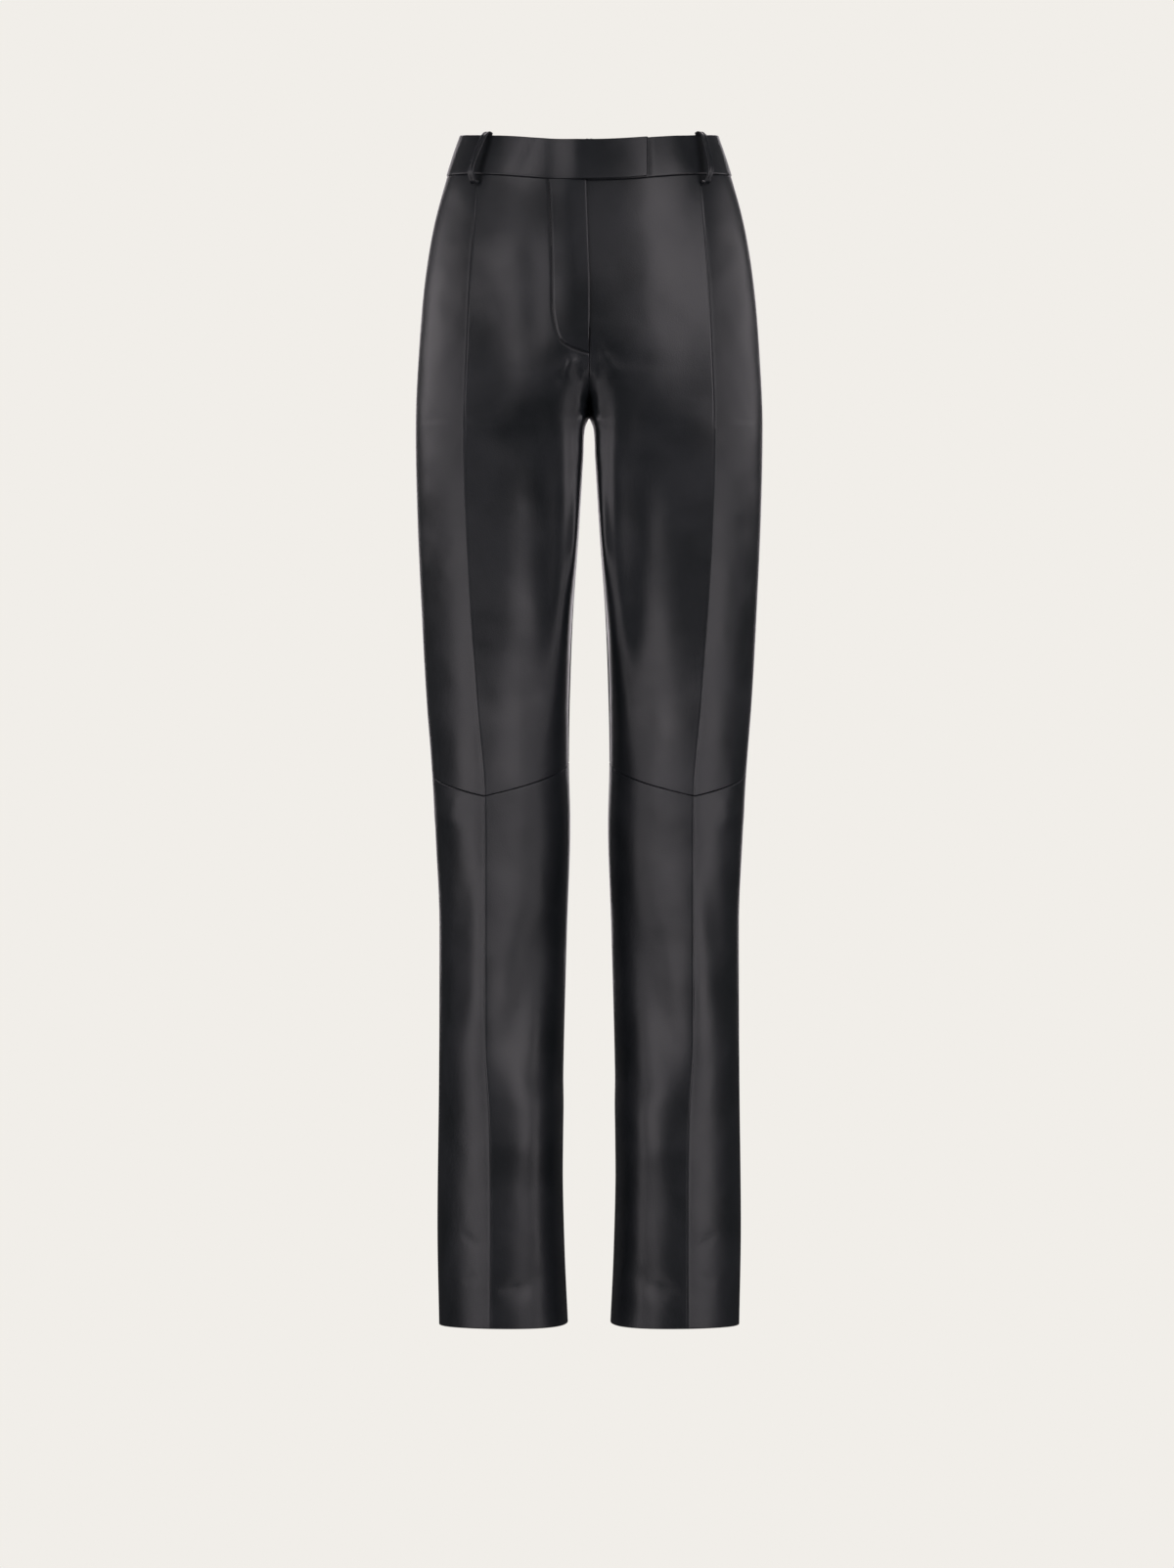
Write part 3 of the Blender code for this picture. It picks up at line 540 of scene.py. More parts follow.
def across(angle, inwards, back):
    """Unit directions in plan, turned by an angle in degrees from straight inwards."""
    a = np.radians(angle)
    return np.stack([inwards * np.cos(a), back * np.sin(a), np.zeros_like(a)], axis=1)


def curve(start, start_way, end, end_way, handle, t, level=0.0):
    """One cubic curve's points for each section, at the shares t. Where level is 1 it ends level."""
    reach = np.linalg.norm(end - start, axis=1)[:, None] * np.reshape(handle, (-1, 1))
    a, b = start + start_way * reach, end - end_way * reach
    climb = (end - start)[:, 2]
    a[:, 2] = start[:, 2] + climb / 3
    b[:, 2] = end[:, 2] - climb / 3 * (1 - level)
    t = t[None, :, None]
    start, a, b, end = (p[:, None, :] for p in (start, a, b, end))
    return (1 - t) ** 3 * start + 3 * t * (1 - t) ** 2 * a + 3 * t**2 * (1 - t) * b + t**3 * end


def section_shares(detail):
    """Shares across a section, with one on the crease."""
    rows = [(share * SECTION_LENGTH, *steps) for share, *steps in ACROSS_STEPS[1:]]
    shares = spaced(rows, detail) / SECTION_LENGTH
    shares[np.argmin(np.abs(shares - 0.5))] = 0.5
    return shares


def half_sections(front, at, shares):
    """Points of the front or back half of each section of a left leg. Share 0 is the side seam, a half is
    the crease and 1 the middle."""
    outer, inner, fork, fullness = smooth_rows(TURNS, at).T[0 if front else 4 :][:4]
    face = -1.0 if front else 1.0
    side = line_points(SIDE_SEAM, at)
    crease = line_points(FRONT_CREASE if front else BACK_CREASE, at)
    middle = middle_points(front, at)
    from_side = np.tile([0.0, face, 0.0], (len(at), 1))
    outside = shares <= 0.5
    to_crease, from_crease = across(outer, -1.0, face), across(inner, -1.0, face)
    to_middle = across(fork, -1.0, -face)
    outer_curve = curve(side, from_side, crease, to_crease, HANDLE, shares[outside] * 2)
    level = np.clip((at - LEVEL_FROM) / (WAIST_SEAM - LEVEL_FROM), 0.0, 1.0)
    inner_curve = curve(crease, from_crease, middle, to_middle, fullness, shares[~outside] * 2 - 1, level)
    return np.concatenate([outer_curve, inner_curve], axis=1)


def unit(ways):
    """Directions, each made one long."""
    return ways / np.linalg.norm(ways, axis=-1, keepdims=True)


def outward(points, front):
    """Unit normals of a grid of a left leg's points, facing out."""
    down, over = np.gradient(points, axis=(0, 1))
    return unit(np.cross(over, down) if front else np.cross(down, over))


def soft_step(x):
    """0 to 1 as x goes from 0 to 1, level at both ends."""
    x = np.clip(x, 0.0, 1.0)
    return x * x * (3 - 2 * x)


def bump_across(distance, width):
    """A soft bump's height, 1 at its middle."""
    return np.exp(-((distance / width) ** 2))


def fold_height(side, front, points):
    """How far the folds lift each point of a panel, given as a left leg's."""
    total = np.zeros(points.shape[:2])
    for leg, x_1, z_1, x_2, z_2, width, height in (FRONT_FOLDS if front else BACK_FOLDS)[1:]:
        if leg == -side:
            continue
        start, along = np.array([x_1, z_1]), np.array([x_2 - x_1, z_2 - z_1])
        offset = points[:, :, [0, 2]] - start
        share = offset @ along / (along @ along)
        away = np.linalg.norm(offset - np.clip(share, 0, 1)[..., None] * along, axis=2)
        ends = soft_step(share / FOLD_FADE) * soft_step((1 - share) / FOLD_FADE)
        total += height * ends * bump_across(away, width)
    return total


def inside_stitch(points):
    """How far inside the fly's J each point lies. Outside is negative."""
    line = np.array(FLY_STITCH[1:])
    flat = points[..., [0, 2]]
    nearest = np.full(flat.shape[:2], np.inf)
    for start, end in zip(line, line[1:]):
        along = end - start
        share = np.clip((flat - start) @ along / (along @ along), 0, 1)
        nearest = np.minimum(nearest, np.linalg.norm(flat - start - share[..., None] * along, axis=2))
    edge = np.interp(flat[..., 1], line[::-1, 1], line[::-1, 0])
    return np.where((flat[..., 0] < edge) & (flat[..., 1] > line[-1, 1]), nearest, -nearest)


def spaced(rows, column=1):
    """Places from a table's first row to its last, as far apart as a column of steps says."""
    rows = np.array(rows)
    fine = np.linspace(rows[0, 0], rows[-1, 0], SPACING_SAMPLES)
    order = np.argsort(rows[:, 0])
    steps = np.interp(fine, rows[order, 0], rows[order, column])
    count = np.concatenate([[0.0], np.cumsum(2 * np.abs(np.diff(fine)) / (steps[1:] + steps[:-1]))])
    return np.interp(np.linspace(0.0, count[-1], math.ceil(count[-1]) + 1), count, fine)


def rolled(distance, width, depth):
    """How far an edge that rolls over has dropped, at a distance from it."""
    inside = np.clip(1 - distance / width, 0.0, 1.0)
    return depth * (1 - np.sqrt(1 - inside**2))


def along_rows(points):
    """Each point's distance across its panel from the side seam."""
    steps = np.linalg.norm(np.diff(points, axis=1), axis=2)
    return np.concatenate([np.zeros((len(points), 1)), np.cumsum(steps, axis=1)], axis=1)


def eased_front(points, at):
    """A front's points, with the sudden turns near the fork eased: each point's depth becomes a mean of the
    depths above and below it."""
    x = np.linspace(0.0, FORK_OUTER[0], FORK_SAMPLES)
    depth = np.stack([np.interp(x, row[::-1, 0], row[::-1, 1]) for row in points])
    weight = bump_across(at[:, None] - at[None, :], FORK_EASE) * -np.gradient(at)
    change = weight @ depth / weight.sum(axis=1)[:, None] - depth
    change *= soft_step((x - FORK_INNER[0]) / (FORK_INNER[1] - FORK_INNER[0]))
    change *= soft_step((x - FORK_OUTER[0]) / (FORK_OUTER[1] - FORK_OUTER[0]))
    change *= soft_step(1 - np.abs(at - FORK_HEIGHT) / FORK_REACH)[:, None]
    eased = points.copy()
    eased[..., 1] += np.stack([np.interp(row[:, 0], x, shift) for row, shift in zip(points, change)])
    return eased


def pressed_inseam(points, at):
    """A front's points, with the turn into the inseam drawn tighter than the pattern's below the fork, as
    the press leaves it."""
    depth, power, width = TURN_IN
    start = np.maximum(points[:, -1:, 0], TURN_IN_NEAREST) + width
    share = np.clip((start - points[..., 0]) / width, 0.0, 1.0) ** power
    share *= soft_step((points[:, -1:, 1].max() - points[..., 1]) / TURN_IN_SEAM)
    over = soft_step((TURN_IN_TOP - at) / TURN_IN_RAMPS[0]) * soft_step((at - TURN_IN_END) / TURN_IN_RAMPS[1])
    pressed = points.copy()
    pressed[..., 1] -= depth * share * over[:, None]
    return pressed


def panel_grid(side, front, at, shares):
    """One panel's outer and inner points, from the side seam to the middle and from top to bottom."""
    points = half_sections(front, at, shares)
    if front:
        points = eased_front(pressed_inseam(points, at), at)
    lift = fold_height(side, front, points)
    over = along_rows(points)
    down = along_rows(points.transpose(1, 0, 2)).T
    from_crease = over - over[:, [int(np.argmin(np.abs(shares - 0.5)))]]
    start = soft_step((WAIST_SEAM - at - CREASE_START) / CREASE_RAMP)[:, None]
    ridge, ridge_width = CREASE_RIDGE
    line, line_width, line_place = CREASE_LINE
    lift += ridge * start * bump_across(from_crease, ridge_width)
    lift -= line * start * bump_across(from_crease - line_place, line_width)
    roll = rolled(over, *SEAM_ROLL) + rolled(down, *SEAM_ROLL)
    roll += rolled(down[-1:] - down, *SEAM_ROLL)
    to_middle = over[:, -1:] - over
    plain_roll = rolled(to_middle, *SEAM_ROLL)
    middle_roll = plain_roll
    edge = np.zeros(len(at))
    if front:
        over_fly = soft_step((points[:, -1, 2] - UNDERLAP_END) / UNDERLAP_RAMP)
        overhang = np.interp(points[:, -1, 2], (FLY_STRAIGHT, WAIST_SEAM), FLAP_OVERHANG)
        edge = over_fly * (overhang if side == RIGHT else UNDERLAP)
        if side == RIGHT:
            inside = inside_stitch(points)
            groove, groove_width = STITCH_GROOVE
            for height, ahead, width in (FLAP_EDGE, FLAP_SLOPE):
                lift += height * soft_step((inside + ahead) / width)
            on_panel = soft_step((points[:, :, 0] - GROOVE_END) / GROOVE_FADE)
            lift -= groove * bump_across(inside, groove_width) * on_panel
            middle_roll = plain_roll + (rolled(to_middle, *FLY_ROLL) - plain_roll) * over_fly[:, None]
    roll = np.minimum(roll + middle_roll, LEATHER - RIM)
    points = points + outward(points, front) * lift[..., None]
    way = unit(points[:, -1] - points[:, -EDGE_POINTS])
    near_middle = soft_step((shares - 1 + EDGE_SHARE) / EDGE_SHARE)
    points += (edge[:, None] * near_middle)[..., None] * way[:, None, :]
    points[:, 0, 1] += (-1 if front else 1) * SIDE_GAP / 2
    points[0, :, 2] -= SEAM / 2
    if at[-1] != HEM:
        points[-1, :, 2] += SEAM / 2
    normal = outward(points, front)
    grids = [points - normal * depth for depth in (roll[..., None], LEATHER)]
    sewn = at > CROTCH if not front else (at > CROTCH) & (over_fly == 0)
    near_seam = bump_across(to_middle, SEAM_REACH)
    for grid in grids:
        grid[..., 0] -= np.where(sewn[:, None], near_seam * grid[:, -1:, 0], 0.0)
        grid[..., 0] *= side
    return grids


GRAIN_MM = 1.1
PORE_MM = 1.8
SHADE_MM = 70.0
DRAPE_MM = 38.0
DRAPE_DEPTH = 1.8
GRAIN_DEPTH = 0.3
NAPPA_HEX = "191D20"
NAPPA_WORN_HEX = "25282C"
NAPPA_ROUGHNESS = (0.34, 0.42)
FIBRE_MM = 1.5
FIBRE_DEPTH = 0.4
FLESH_HEX = "2B2826"
SHARP_ANGLE = 50.0
# A Mix node's colour sockets by number, because its other sockets have the same names.
COLOUR_A, COLOUR_B, COLOUR_OUT = 6, 7, 2


def nappa():
    """Black chrome-tanned nappa, drum-dyed with a thin satin finish: smooth, with a fine pebble grain that
    only softens its highlights. The grain is drawn about twice as coarse as it is, so that it shows."""
    made, add, on_piece = new_material("black satin nappa")
    grain = add(
        "ShaderNodeTexVoronoi", {"Scale": 1 / (GRAIN_MM * MM), "Smoothness": 0.6, "Randomness": 0.9},
        on_piece, feature="SMOOTH_F1",
    )
    pores, patches, drape = (
        add("ShaderNodeTexNoise", {"Scale": 1 / (size * MM), **kind}, on_piece)
        for size, kind in (
            (PORE_MM, {"Detail": 3.0, "Roughness": 0.6}),
            (SHADE_MM, {"Detail": 4.0, "Roughness": 0.55, "Distortion": 0.4}),
            (DRAPE_MM, {"Detail": 0.6, "Roughness": 0.4}),
        )
    )
    worn = add("ShaderNodeMapRange", {"From Min": 0.35, "From Max": 0.7}, [("Value", patches, "Fac")])
    tone = add(
        "ShaderNodeMix", {COLOUR_A: linear(NAPPA_HEX), COLOUR_B: linear(NAPPA_WORN_HEX)},
        [("Factor", worn, "Result")], data_type="RGBA",
    )
    smooth, rough = NAPPA_ROUGHNESS
    gloss = add(
        "ShaderNodeMapRange", {"From Min": 0.3, "From Max": 0.7, "To Min": smooth, "To Max": rough},
        [("Value", patches, "Fac")],
    )
    relief = []
    for source, output, strength, depth in (
        (drape, "Fac", 1.0, DRAPE_DEPTH),
        (pores, "Fac", 0.12, GRAIN_DEPTH),
        (grain, "Distance", 0.16, GRAIN_DEPTH),
    ):
        sizes = {"Strength": strength, "Distance": depth * MM}
        bump = add("ShaderNodeBump", sizes, [("Height", source, output), *relief])
        relief = [("Normal", bump, "Normal")]
    shader = add(
        "ShaderNodeBsdfPrincipled", {"IOR": 1.5, "Coat Weight": 0.12, "Coat Roughness": 0.3},
        [("Base Color", tone, COLOUR_OUT), ("Roughness", gloss, "Result"), *relief],
    )
    return surfaced(made, shader)


def flesh_side():
    """The unfinished inside of the skin: short brushed fibres, matt and a little lighter than the outside."""
    made, add, on_piece = new_material("brushed flesh side")
    fibres = add(
        "ShaderNodeTexNoise", {"Scale": 1 / (FIBRE_MM * MM), "Detail": 5.0, "Roughness": 0.7}, on_piece
    )
    relief = add(
        "ShaderNodeBump", {"Strength": 0.4, "Distance": FIBRE_DEPTH * MM}, [("Height", fibres, "Fac")]
    )
    shader = add(
        "ShaderNodeBsdfPrincipled",
        {"Base Color": linear(FLESH_HEX), "Roughness": 0.95, "Sheen Weight": 0.3, "Sheen Roughness": 0.5},
        [("Normal", relief, "Normal")],
    )
    return surfaced(made, shader)


NAPPA_OUTSIDE = nappa()
NAPPA_INSIDE = flesh_side()


def finished(name, mesh, materials, *nodes):
    """A finished piece: smooth, riding on the one body, standing for its nodes."""
    for each in materials:
        mesh.materials.append(each)
    mesh.shade_smooth()
    piece = placed(name, mesh)
    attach(piece, "root")
    if nodes:
        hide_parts(*nodes)
    return piece


def shell(points, inner, flipped):
    """A closed shell of leather between a grid of outer points and one of inner points."""
    rows, columns = points.shape[:2]
    number = np.arange(rows * columns).reshape(rows, columns)
    corners = (number[:-1, :-1], number[1:, :-1], number[1:, 1:], number[:-1, 1:])
    outside = np.stack([corner.ravel() for corner in corners], axis=1)
    count = rows * columns
    inside = outside[:, ::-1] + count
    border = np.concatenate([number[0, :], number[1:, -1], number[-1, -2::-1], number[-2:0:-1, 0]])
    following = np.roll(border, -1)
    rim = np.stack([border, following, following + count, border + count], axis=1)
    faces = np.vstack([outside, inside, rim])
    if flipped:
        faces = faces[:, ::-1]
    mesh = bpy.data.meshes.new("shell")
    mesh.from_pydata((np.concatenate([points, inner]).reshape(-1, 3) * MM).tolist(), [], faces.tolist())
    inner_faces = np.zeros(len(faces), dtype=np.int32)
    inner_faces[len(outside) : len(outside) + len(inside)] = 1
    return mesh, inner_faces


def leather_piece(node, grids, flipped, inside=NAPPA_INSIDE):
    """A finished piece of one skin, its two faces drawn as the skin's own."""
    mesh, inner_faces = shell(*grids, flipped)
    piece = finished(f"nappa_{node}", mesh, (NAPPA_OUTSIDE, inside), node)
    mesh.polygons.foreach_set("material_index", inner_faces)
    mesh.set_sharp_from_angle(angle=math.radians(SHARP_ANGLE))
    return piece


# Each panel's cut: its width and length flat, and its area, in metres. A seam allowance isn't counted.
CUTS = (
    ("panel", "width", "length", "area"),
    ("front_upper", 0.275, 0.562, 0.1316),
    ("back_upper", 0.270, 0.556, 0.1261),
    ("front_lower", 0.222, 0.522, 0.1084),
    ("back_lower", 0.222, 0.514, 0.1098),
)
for panel, width, length, area in CUTS[1:]:
    front = panel.startswith("front")
    for side, side_name in ((RIGHT, "right"), (LEFT, "left")):
        detail = 2 if panel == "front_upper" and side == RIGHT else 1
        steps = UPPER_STEPS if panel.endswith("upper") else LOWER_STEPS
        heights = spaced(steps[1:], detail)
        grids = panel_grid(side, front, heights, section_shares(detail))
        piece = leather_piece(f"{panel}_{side_name}", grids, front == (side == LEFT))


# ------------------------------------------------------------
# Topstitching: one line of heavy black polyester thread, a stitch each 3 mm, which holds the fly's facing
# to the right front in a J. Each stitch sinks a little into the leather.
STITCH_PITCH = 3.0
STITCH_LENGTH = 2.3
STITCH_PATH_STEP = 1.0
STITCH_END_X = 1.0
THREAD_RADIUS = 0.28
THREAD_SIDES = 8
# How far the thread's middle stands out of the leather, as a share of its radius.
THREAD_PROUD = 0.4
PLY_MM = 1.2
PLY_DEPTH = 0.1
THREAD_HEX = "121214"


def topstitch_thread():
    """Bonded polyester thread, twisted from three plies: black, with a soft sheen along each ply."""
    made, add, on_piece = new_material("bonded black polyester thread")
    plies = add(
        "ShaderNodeTexWave", {"Scale": 1 / (PLY_MM * MM), "Distortion": 0.5}, on_piece,
        bands_direction="DIAGONAL",
    )
    relief = add("ShaderNodeBump", {"Strength": 0.5, "Distance": PLY_DEPTH * MM}, [("Height", plies, "Fac")])
    shader = add(
        "ShaderNodeBsdfPrincipled",
        {"Base Color": linear(THREAD_HEX), "Roughness": 0.6, "Sheen Weight": 0.05},
        [("Normal", relief, "Normal")],
    )
    return surfaced(made, shader)


def stitch_path(panel):
    """The J on the panel's surface, as a chain of short edges."""
    line = np.array(FLY_STITCH[1:])
    length = along_rows(line[None])[0]
    end = np.interp(STITCH_END_X, line[::-1, 0], length[::-1])
    places = np.arange(STITCH_PITCH / 2, end, STITCH_PATH_STEP)
    surface = BVHTree.FromObject(panel, bpy.context.evaluated_depsgraph_get())
    points = []
    for x, z in zip(np.interp(places, length, line[:, 0]), np.interp(places, length, line[:, 1])):
        place, normal, _, _ = surface.ray_cast(Vector((-x * MM, -1.0, z * MM)), Vector((0.0, 1.0, 0.0)))
        points.append(place + normal * THREAD_RADIUS * THREAD_PROUD * MM)
    mesh = bpy.data.meshes.new("stitch path")
    mesh.from_pydata(points, [(i, i + 1) for i in range(len(points) - 1)], [])
    return mesh


def stitching_tree(thread):
    """Nodes that set one thread-shaped stitch at each pitch along a line of edges."""
    tree = bpy.data.node_groups.new("stitches along a line", "GeometryNodeTree")
    add = partial(add_node, tree)
    sockets = tree.interface
    sockets.new_socket("Line", in_out="INPUT", socket_type="NodeSocketGeometry")
    named = {"Pitch": STITCH_PITCH, "Stitch length": STITCH_LENGTH, "Thread thickness": 2 * THREAD_RADIUS}
    sizes = {}
    for name, value in named.items():
        socket = sockets.new_socket(name, in_out="INPUT", socket_type="NodeSocketFloat")
        sizes[socket.identifier] = value * MM
    sockets.new_socket("Stitches", in_out="OUTPUT", socket_type="NodeSocketGeometry")
    given = add("NodeGroupInput")
    line = add("GeometryNodeMeshToCurve", links=[("Mesh", given, "Line")])
    places = add(
        "GeometryNodeResampleCurve", links=[("Curve", line, "Curve"), ("Length", given, "Pitch")],
        mode="LENGTH",
    )
    ball = add("GeometryNodeMeshUVSphere", {"Segments": THREAD_SIDES, "Rings": THREAD_SIDES, "Radius": 0.5})
    tangent = add("GeometryNodeInputTangent")
    turn = add("FunctionNodeAlignRotationToVector", links=[("Vector", tangent, "Tangent")], axis="Z")
    drawn = add("ShaderNodeCombineXYZ", links=[
        ("X", given, "Thread thickness"), ("Y", given, "Thread thickness"), ("Z", given, "Stitch length")
    ])
    stitches = add("GeometryNodeInstanceOnPoints", links=[
        ("Points", places, "Curve"), ("Instance", ball, "Mesh"), ("Rotation", turn, "Rotation"),
        ("Scale", drawn, "Vector"),
    ])
    real = add("GeometryNodeRealizeInstances", links=[("Geometry", stitches, "Instances")])
    dyed = add("GeometryNodeSetMaterial", {"Material": thread}, [("Geometry", real, "Geometry")])
    add("NodeGroupOutput", links=[("Stitches", dyed, "Geometry")])
    return tree, sizes


def sew(name, path, thread):
    """Stitches along a line of edges, as one plain mesh."""
    tree, sizes = stitching_tree(thread)
    line = placed("stitch line", path)
    nodes = line.modifiers.new("stitches", "NODES")
    nodes.node_group = tree
    for identifier, value in sizes.items():
        nodes[identifier] = value
    graph = bpy.context.evaluated_depsgraph_get()
    mesh = bpy.data.meshes.new_from_object(line.evaluated_get(graph))
    bpy.data.objects.remove(line)
    mesh.materials.clear()
    finished(name, mesh, (thread,))


sew("fly_topstitching", stitch_path(bpy.data.objects["nappa_front_upper_right"]), topstitch_thread())


# ------------------------------------------------------------
# Waistband: two strips of nappa folded over a stiffener, their edges turned in and glued, and seamed at the
# centre back. The right one runs on past the middle as a tab, which lies over the left one.
BAND_WALL = 2.0
BAND_OUTSET = 1.0
TAB_END = 52.0
TAB_CORNER = 3.0
TAB_RAISE = 3.7
TAB_RAMP_START = -36.0
TAB_RAMP_END = -8.0
BAND_UNDERLAP = 5.0
# How the left half sinks under the tab's end: its depth, and the x where it starts and is whole.
BAND_DIP = (0.8, 56.5, 53.0)
# How the band's edges and the tab's end roll over (across, down), and the rim that stays between its faces.
BAND_TOP_ROLL = (1.0, 1.0)
BAND_SEAM_ROLL = (1.6, 1.2)
TAB_ROLL = (2.6, 1.3)
BAND_RIM = 0.6
# How far above and below a row its neighbours lie, to find which way it faces.
ROW_STEP = 1.0

# How far apart the band's points lie: as shares along a half, and in mm down it.
BAND_ALONG = (
    ("share", "step"),
    (0, 0.0009),
    (0.012, 0.003),
    (0.04, 0.007),
    (0.96, 0.007),
    (0.985, 0.003),
    (1, 0.0007),
)
BAND_DOWN = (
    ("z", "step"),
    (WAIST_TOP, 0.25),
    (-2, 0.5),
    (-6, 1.8),
    (WAIST_SEAM + 6, 1.8),
    (WAIST_SEAM + 2, 0.5),
    (WAIST_SEAM, 0.2),
)

# Soft dents in the band: how far along its half from the centre back, how far each leans from the middle of
# the band to its top, its width and its depth.
BAND_DENTS = (
    ("side", "along", "lean", "width", "depth"),
    (RIGHT, 0.10, 3, 9, 0.4),
    (RIGHT, 0.27, -4, 12, 0.5),
    (RIGHT, 0.47, 2, 8, 0.3),
    (RIGHT, 0.62, -3, 10, 0.4),
    (RIGHT, 0.71, 4, 7, 0.35),
    (RIGHT, 0.82, -5, 14, 0.5),
    (LEFT, 0.13, -3, 11, 0.45),
    (LEFT, 0.34, 4, 9, 0.3),
    (LEFT, 0.52, -2, 12, 0.45),
    (LEFT, 0.70, 3, 8, 0.4),
    (LEFT, 0.79, -4, 9, 0.35),
)


def band_loop(at, side):
    """The band's line and outward normals, from the centre back round one side to the centre front."""
    shares = section_shares(1)
    halves = []
    for front in (False, True):
        points = half_sections(front, np.array([at + ROW_STEP, at, at - ROW_STEP]), shares)
        halves.append([points[1] * [side, 1, 1], outward(points, front)[1] * [side, 1, 1]])
    back, ahead = halves
    return [np.vstack([behind[:0:-1], before]) for behind, before in zip(back, ahead)]


def cut_at_x(points, normals, x, rising):
    """The stretch of a line before it crosses x, ending on it."""
    past = points[:, 0] > x if rising else points[:, 0] < x
    first = int(np.argmax(past))
    share = (x - points[first - 1, 0]) / (points[first, 0] - points[first - 1, 0])
    end = points[first - 1] + share * (points[first] - points[first - 1])
    return np.vstack([points[:first], end]), np.vstack([normals[:first], normals[first]])


def band_row(at, side, end):
    """One row of a waistband half from the centre back to its front end: its points and normals, how far
    along it each is, and its length."""
    points, normals = band_loop(at, side)
    other, other_normals = band_loop(at, -side)
    ahead, ahead_normals = cut_at_x(other[::-1], other_normals[::-1], end, side == RIGHT)
    points, normals = np.vstack([points, ahead[1:]]), np.vstack([normals, ahead_normals[1:]])
    length = along_rows(points[None])[0]
    places = length[-1] * spaced(BAND_ALONG[1:])
    points, normals = (
        np.stack([np.interp(places, length, values) for values in each.T], axis=1)
        for each in (points, normals)
    )
    normals = unit(normals)
    half_way = WAIST_SEAM / 2
    outset = np.full(len(points), BAND_OUTSET)
    if side == RIGHT:
        ramp = soft_step((points[:, 0] - TAB_RAMP_START) / (TAB_RAMP_END - TAB_RAMP_START))
        outset += TAB_RAISE * ramp * (points[:, 1] < 0)
    else:
        depth, start, end = BAND_DIP
        outset -= depth * soft_step((start - points[:, 0]) / (start - end)) * (points[:, 1] < 0)
    for of_side, along, lean, width, depth in BAND_DENTS[1:]:
        if of_side == side:
            middle = along * length[-1] + lean * (at - half_way) / -half_way
            outset -= depth * bump_across(places - middle, width)
    points = points + normals * outset[:, None]
    points[0, 0] += side * SEAM / 2
    return points, normals, places, length[-1]


def band_grids(side):
    """A waistband half's outer and inner points."""
    heights = spaced(BAND_DOWN[1:])
    heights[-1] += SEAM / 2
    rows = []
    for at in heights:
        corner = rolled(at - WAIST_SEAM, TAB_CORNER, TAB_CORNER)
        corner += rolled(WAIST_TOP - at, TAB_CORNER / 2, TAB_CORNER / 2)
        rows.append(band_row(at, side, TAB_END - corner if side == RIGHT else -BAND_UNDERLAP))
    points, normals, places, lengths = (np.stack(column) for column in zip(*rows))
    roll = rolled(WAIST_TOP - heights, *BAND_TOP_ROLL) + rolled(heights - WAIST_SEAM, *BAND_SEAM_ROLL)
    roll = roll[:, None] + rolled(places, *SEAM_ROLL) + rolled(lengths[:, None] - places, *TAB_ROLL)
    inner_roll = np.minimum(roll, BAND_RIM)
    roll = np.minimum(roll, BAND_WALL - BAND_RIM - RIM)
    return points - normals * roll[..., None], points - normals * (BAND_WALL - inner_roll)[..., None]


BAND_CUTS = (
    ("name", "side", "width", "length", "area"),
    ("waistband_right", RIGHT, 0.042, 0.425, 0.0160),
    ("waistband_left", LEFT, 0.042, 0.372, 0.0141),
)
for node, side, width, length, area in BAND_CUTS[1:]:
    piece = leather_piece(node, band_grids(side), side == LEFT, inside=NAPPA_OUTSIDE)


# ------------------------------------------------------------
# Belt loops: five strips of nappa folded to a third of their width and glued, their raw edge under a fine
# line down the middle. The top end turns in over the band and the lower one curls under below its seam.
LOOP_WIDTH = 7.0
LOOP_WALL = 2.0
LOOP_STEPS = 90
LOOP_FACE_POINTS = 17
LOOP_CORNER_STEPS = 4
# The line down the middle of a strip (depth, width), and the share of it that is folded double at the top,
# with the thickness that this adds.
LOOP_LINE = (0.35, 0.8)
LOOP_FOLDED_END = (0.16, 1.3)
# How far to either side of a loop the band's surface is taken, as a share of a section.
LOOP_SPAN = 0.02
# The levels that a loop passes, and how far outside the leather's line the surface is there. Its middle line
# goes through points out from these levels and up from them.
LOOP_LEVELS = (
    ("level", "at", "outset"),
    ("top", WAIST_TOP, BAND_OUTSET),
    ("seam", WAIST_SEAM, BAND_OUTSET),
    ("below", WAIST_SEAM - 8.5, 0),
)
LOOP_PATH = (
    ("level", "out", "up"),
    ("top", -1.2, 1.3),
    ("top", 1.7, 2.1),
    ("top", 5.2, 0.5),
    ("top", 9.2, -5.4),
    ("seam", 9.8, 6),
    ("below", 7.3, 2.6),
    ("below", 3.9, -0.6),
    ("below", 1.6, 1),
)
BELT_LOOPS = (
    ("name", "side", "front", "share_at_top", "share_at_seam"),
    ("belt_loop_front_right", RIGHT, True, 0.5, 0.5),
    ("belt_loop_front_left", LEFT, True, 0.42, 0.49),
    ("belt_loop_back_right", RIGHT, False, 0.56, 0.56),
    ("belt_loop_back_left", LEFT, False, 0.56, 0.56),
    ("belt_loop_centre_back", LEFT, False, 1, 1),
)
LOOP_CUT = (0.010, 0.066, 0.00058)


def spline(knots, steps):
    """A smooth line through points, Catmull-Rom."""
    padded = np.vstack([2 * knots[0] - knots[1], knots, 2 * knots[-1] - knots[-2]])
    places = np.linspace(0, len(knots) - 1, steps + 1)
    i = np.minimum(places.astype(int), len(knots) - 2)
    t = (places - i)[:, None]
    a, b, c, d = padded[i], padded[i + 1], padded[i + 2], padded[i + 3]
    return 0.5 * (2 * b + (c - a) * t + (2 * a - 5 * b + 4 * c - d) * t**2 + (3 * b - 3 * c + d - a) * t**3)


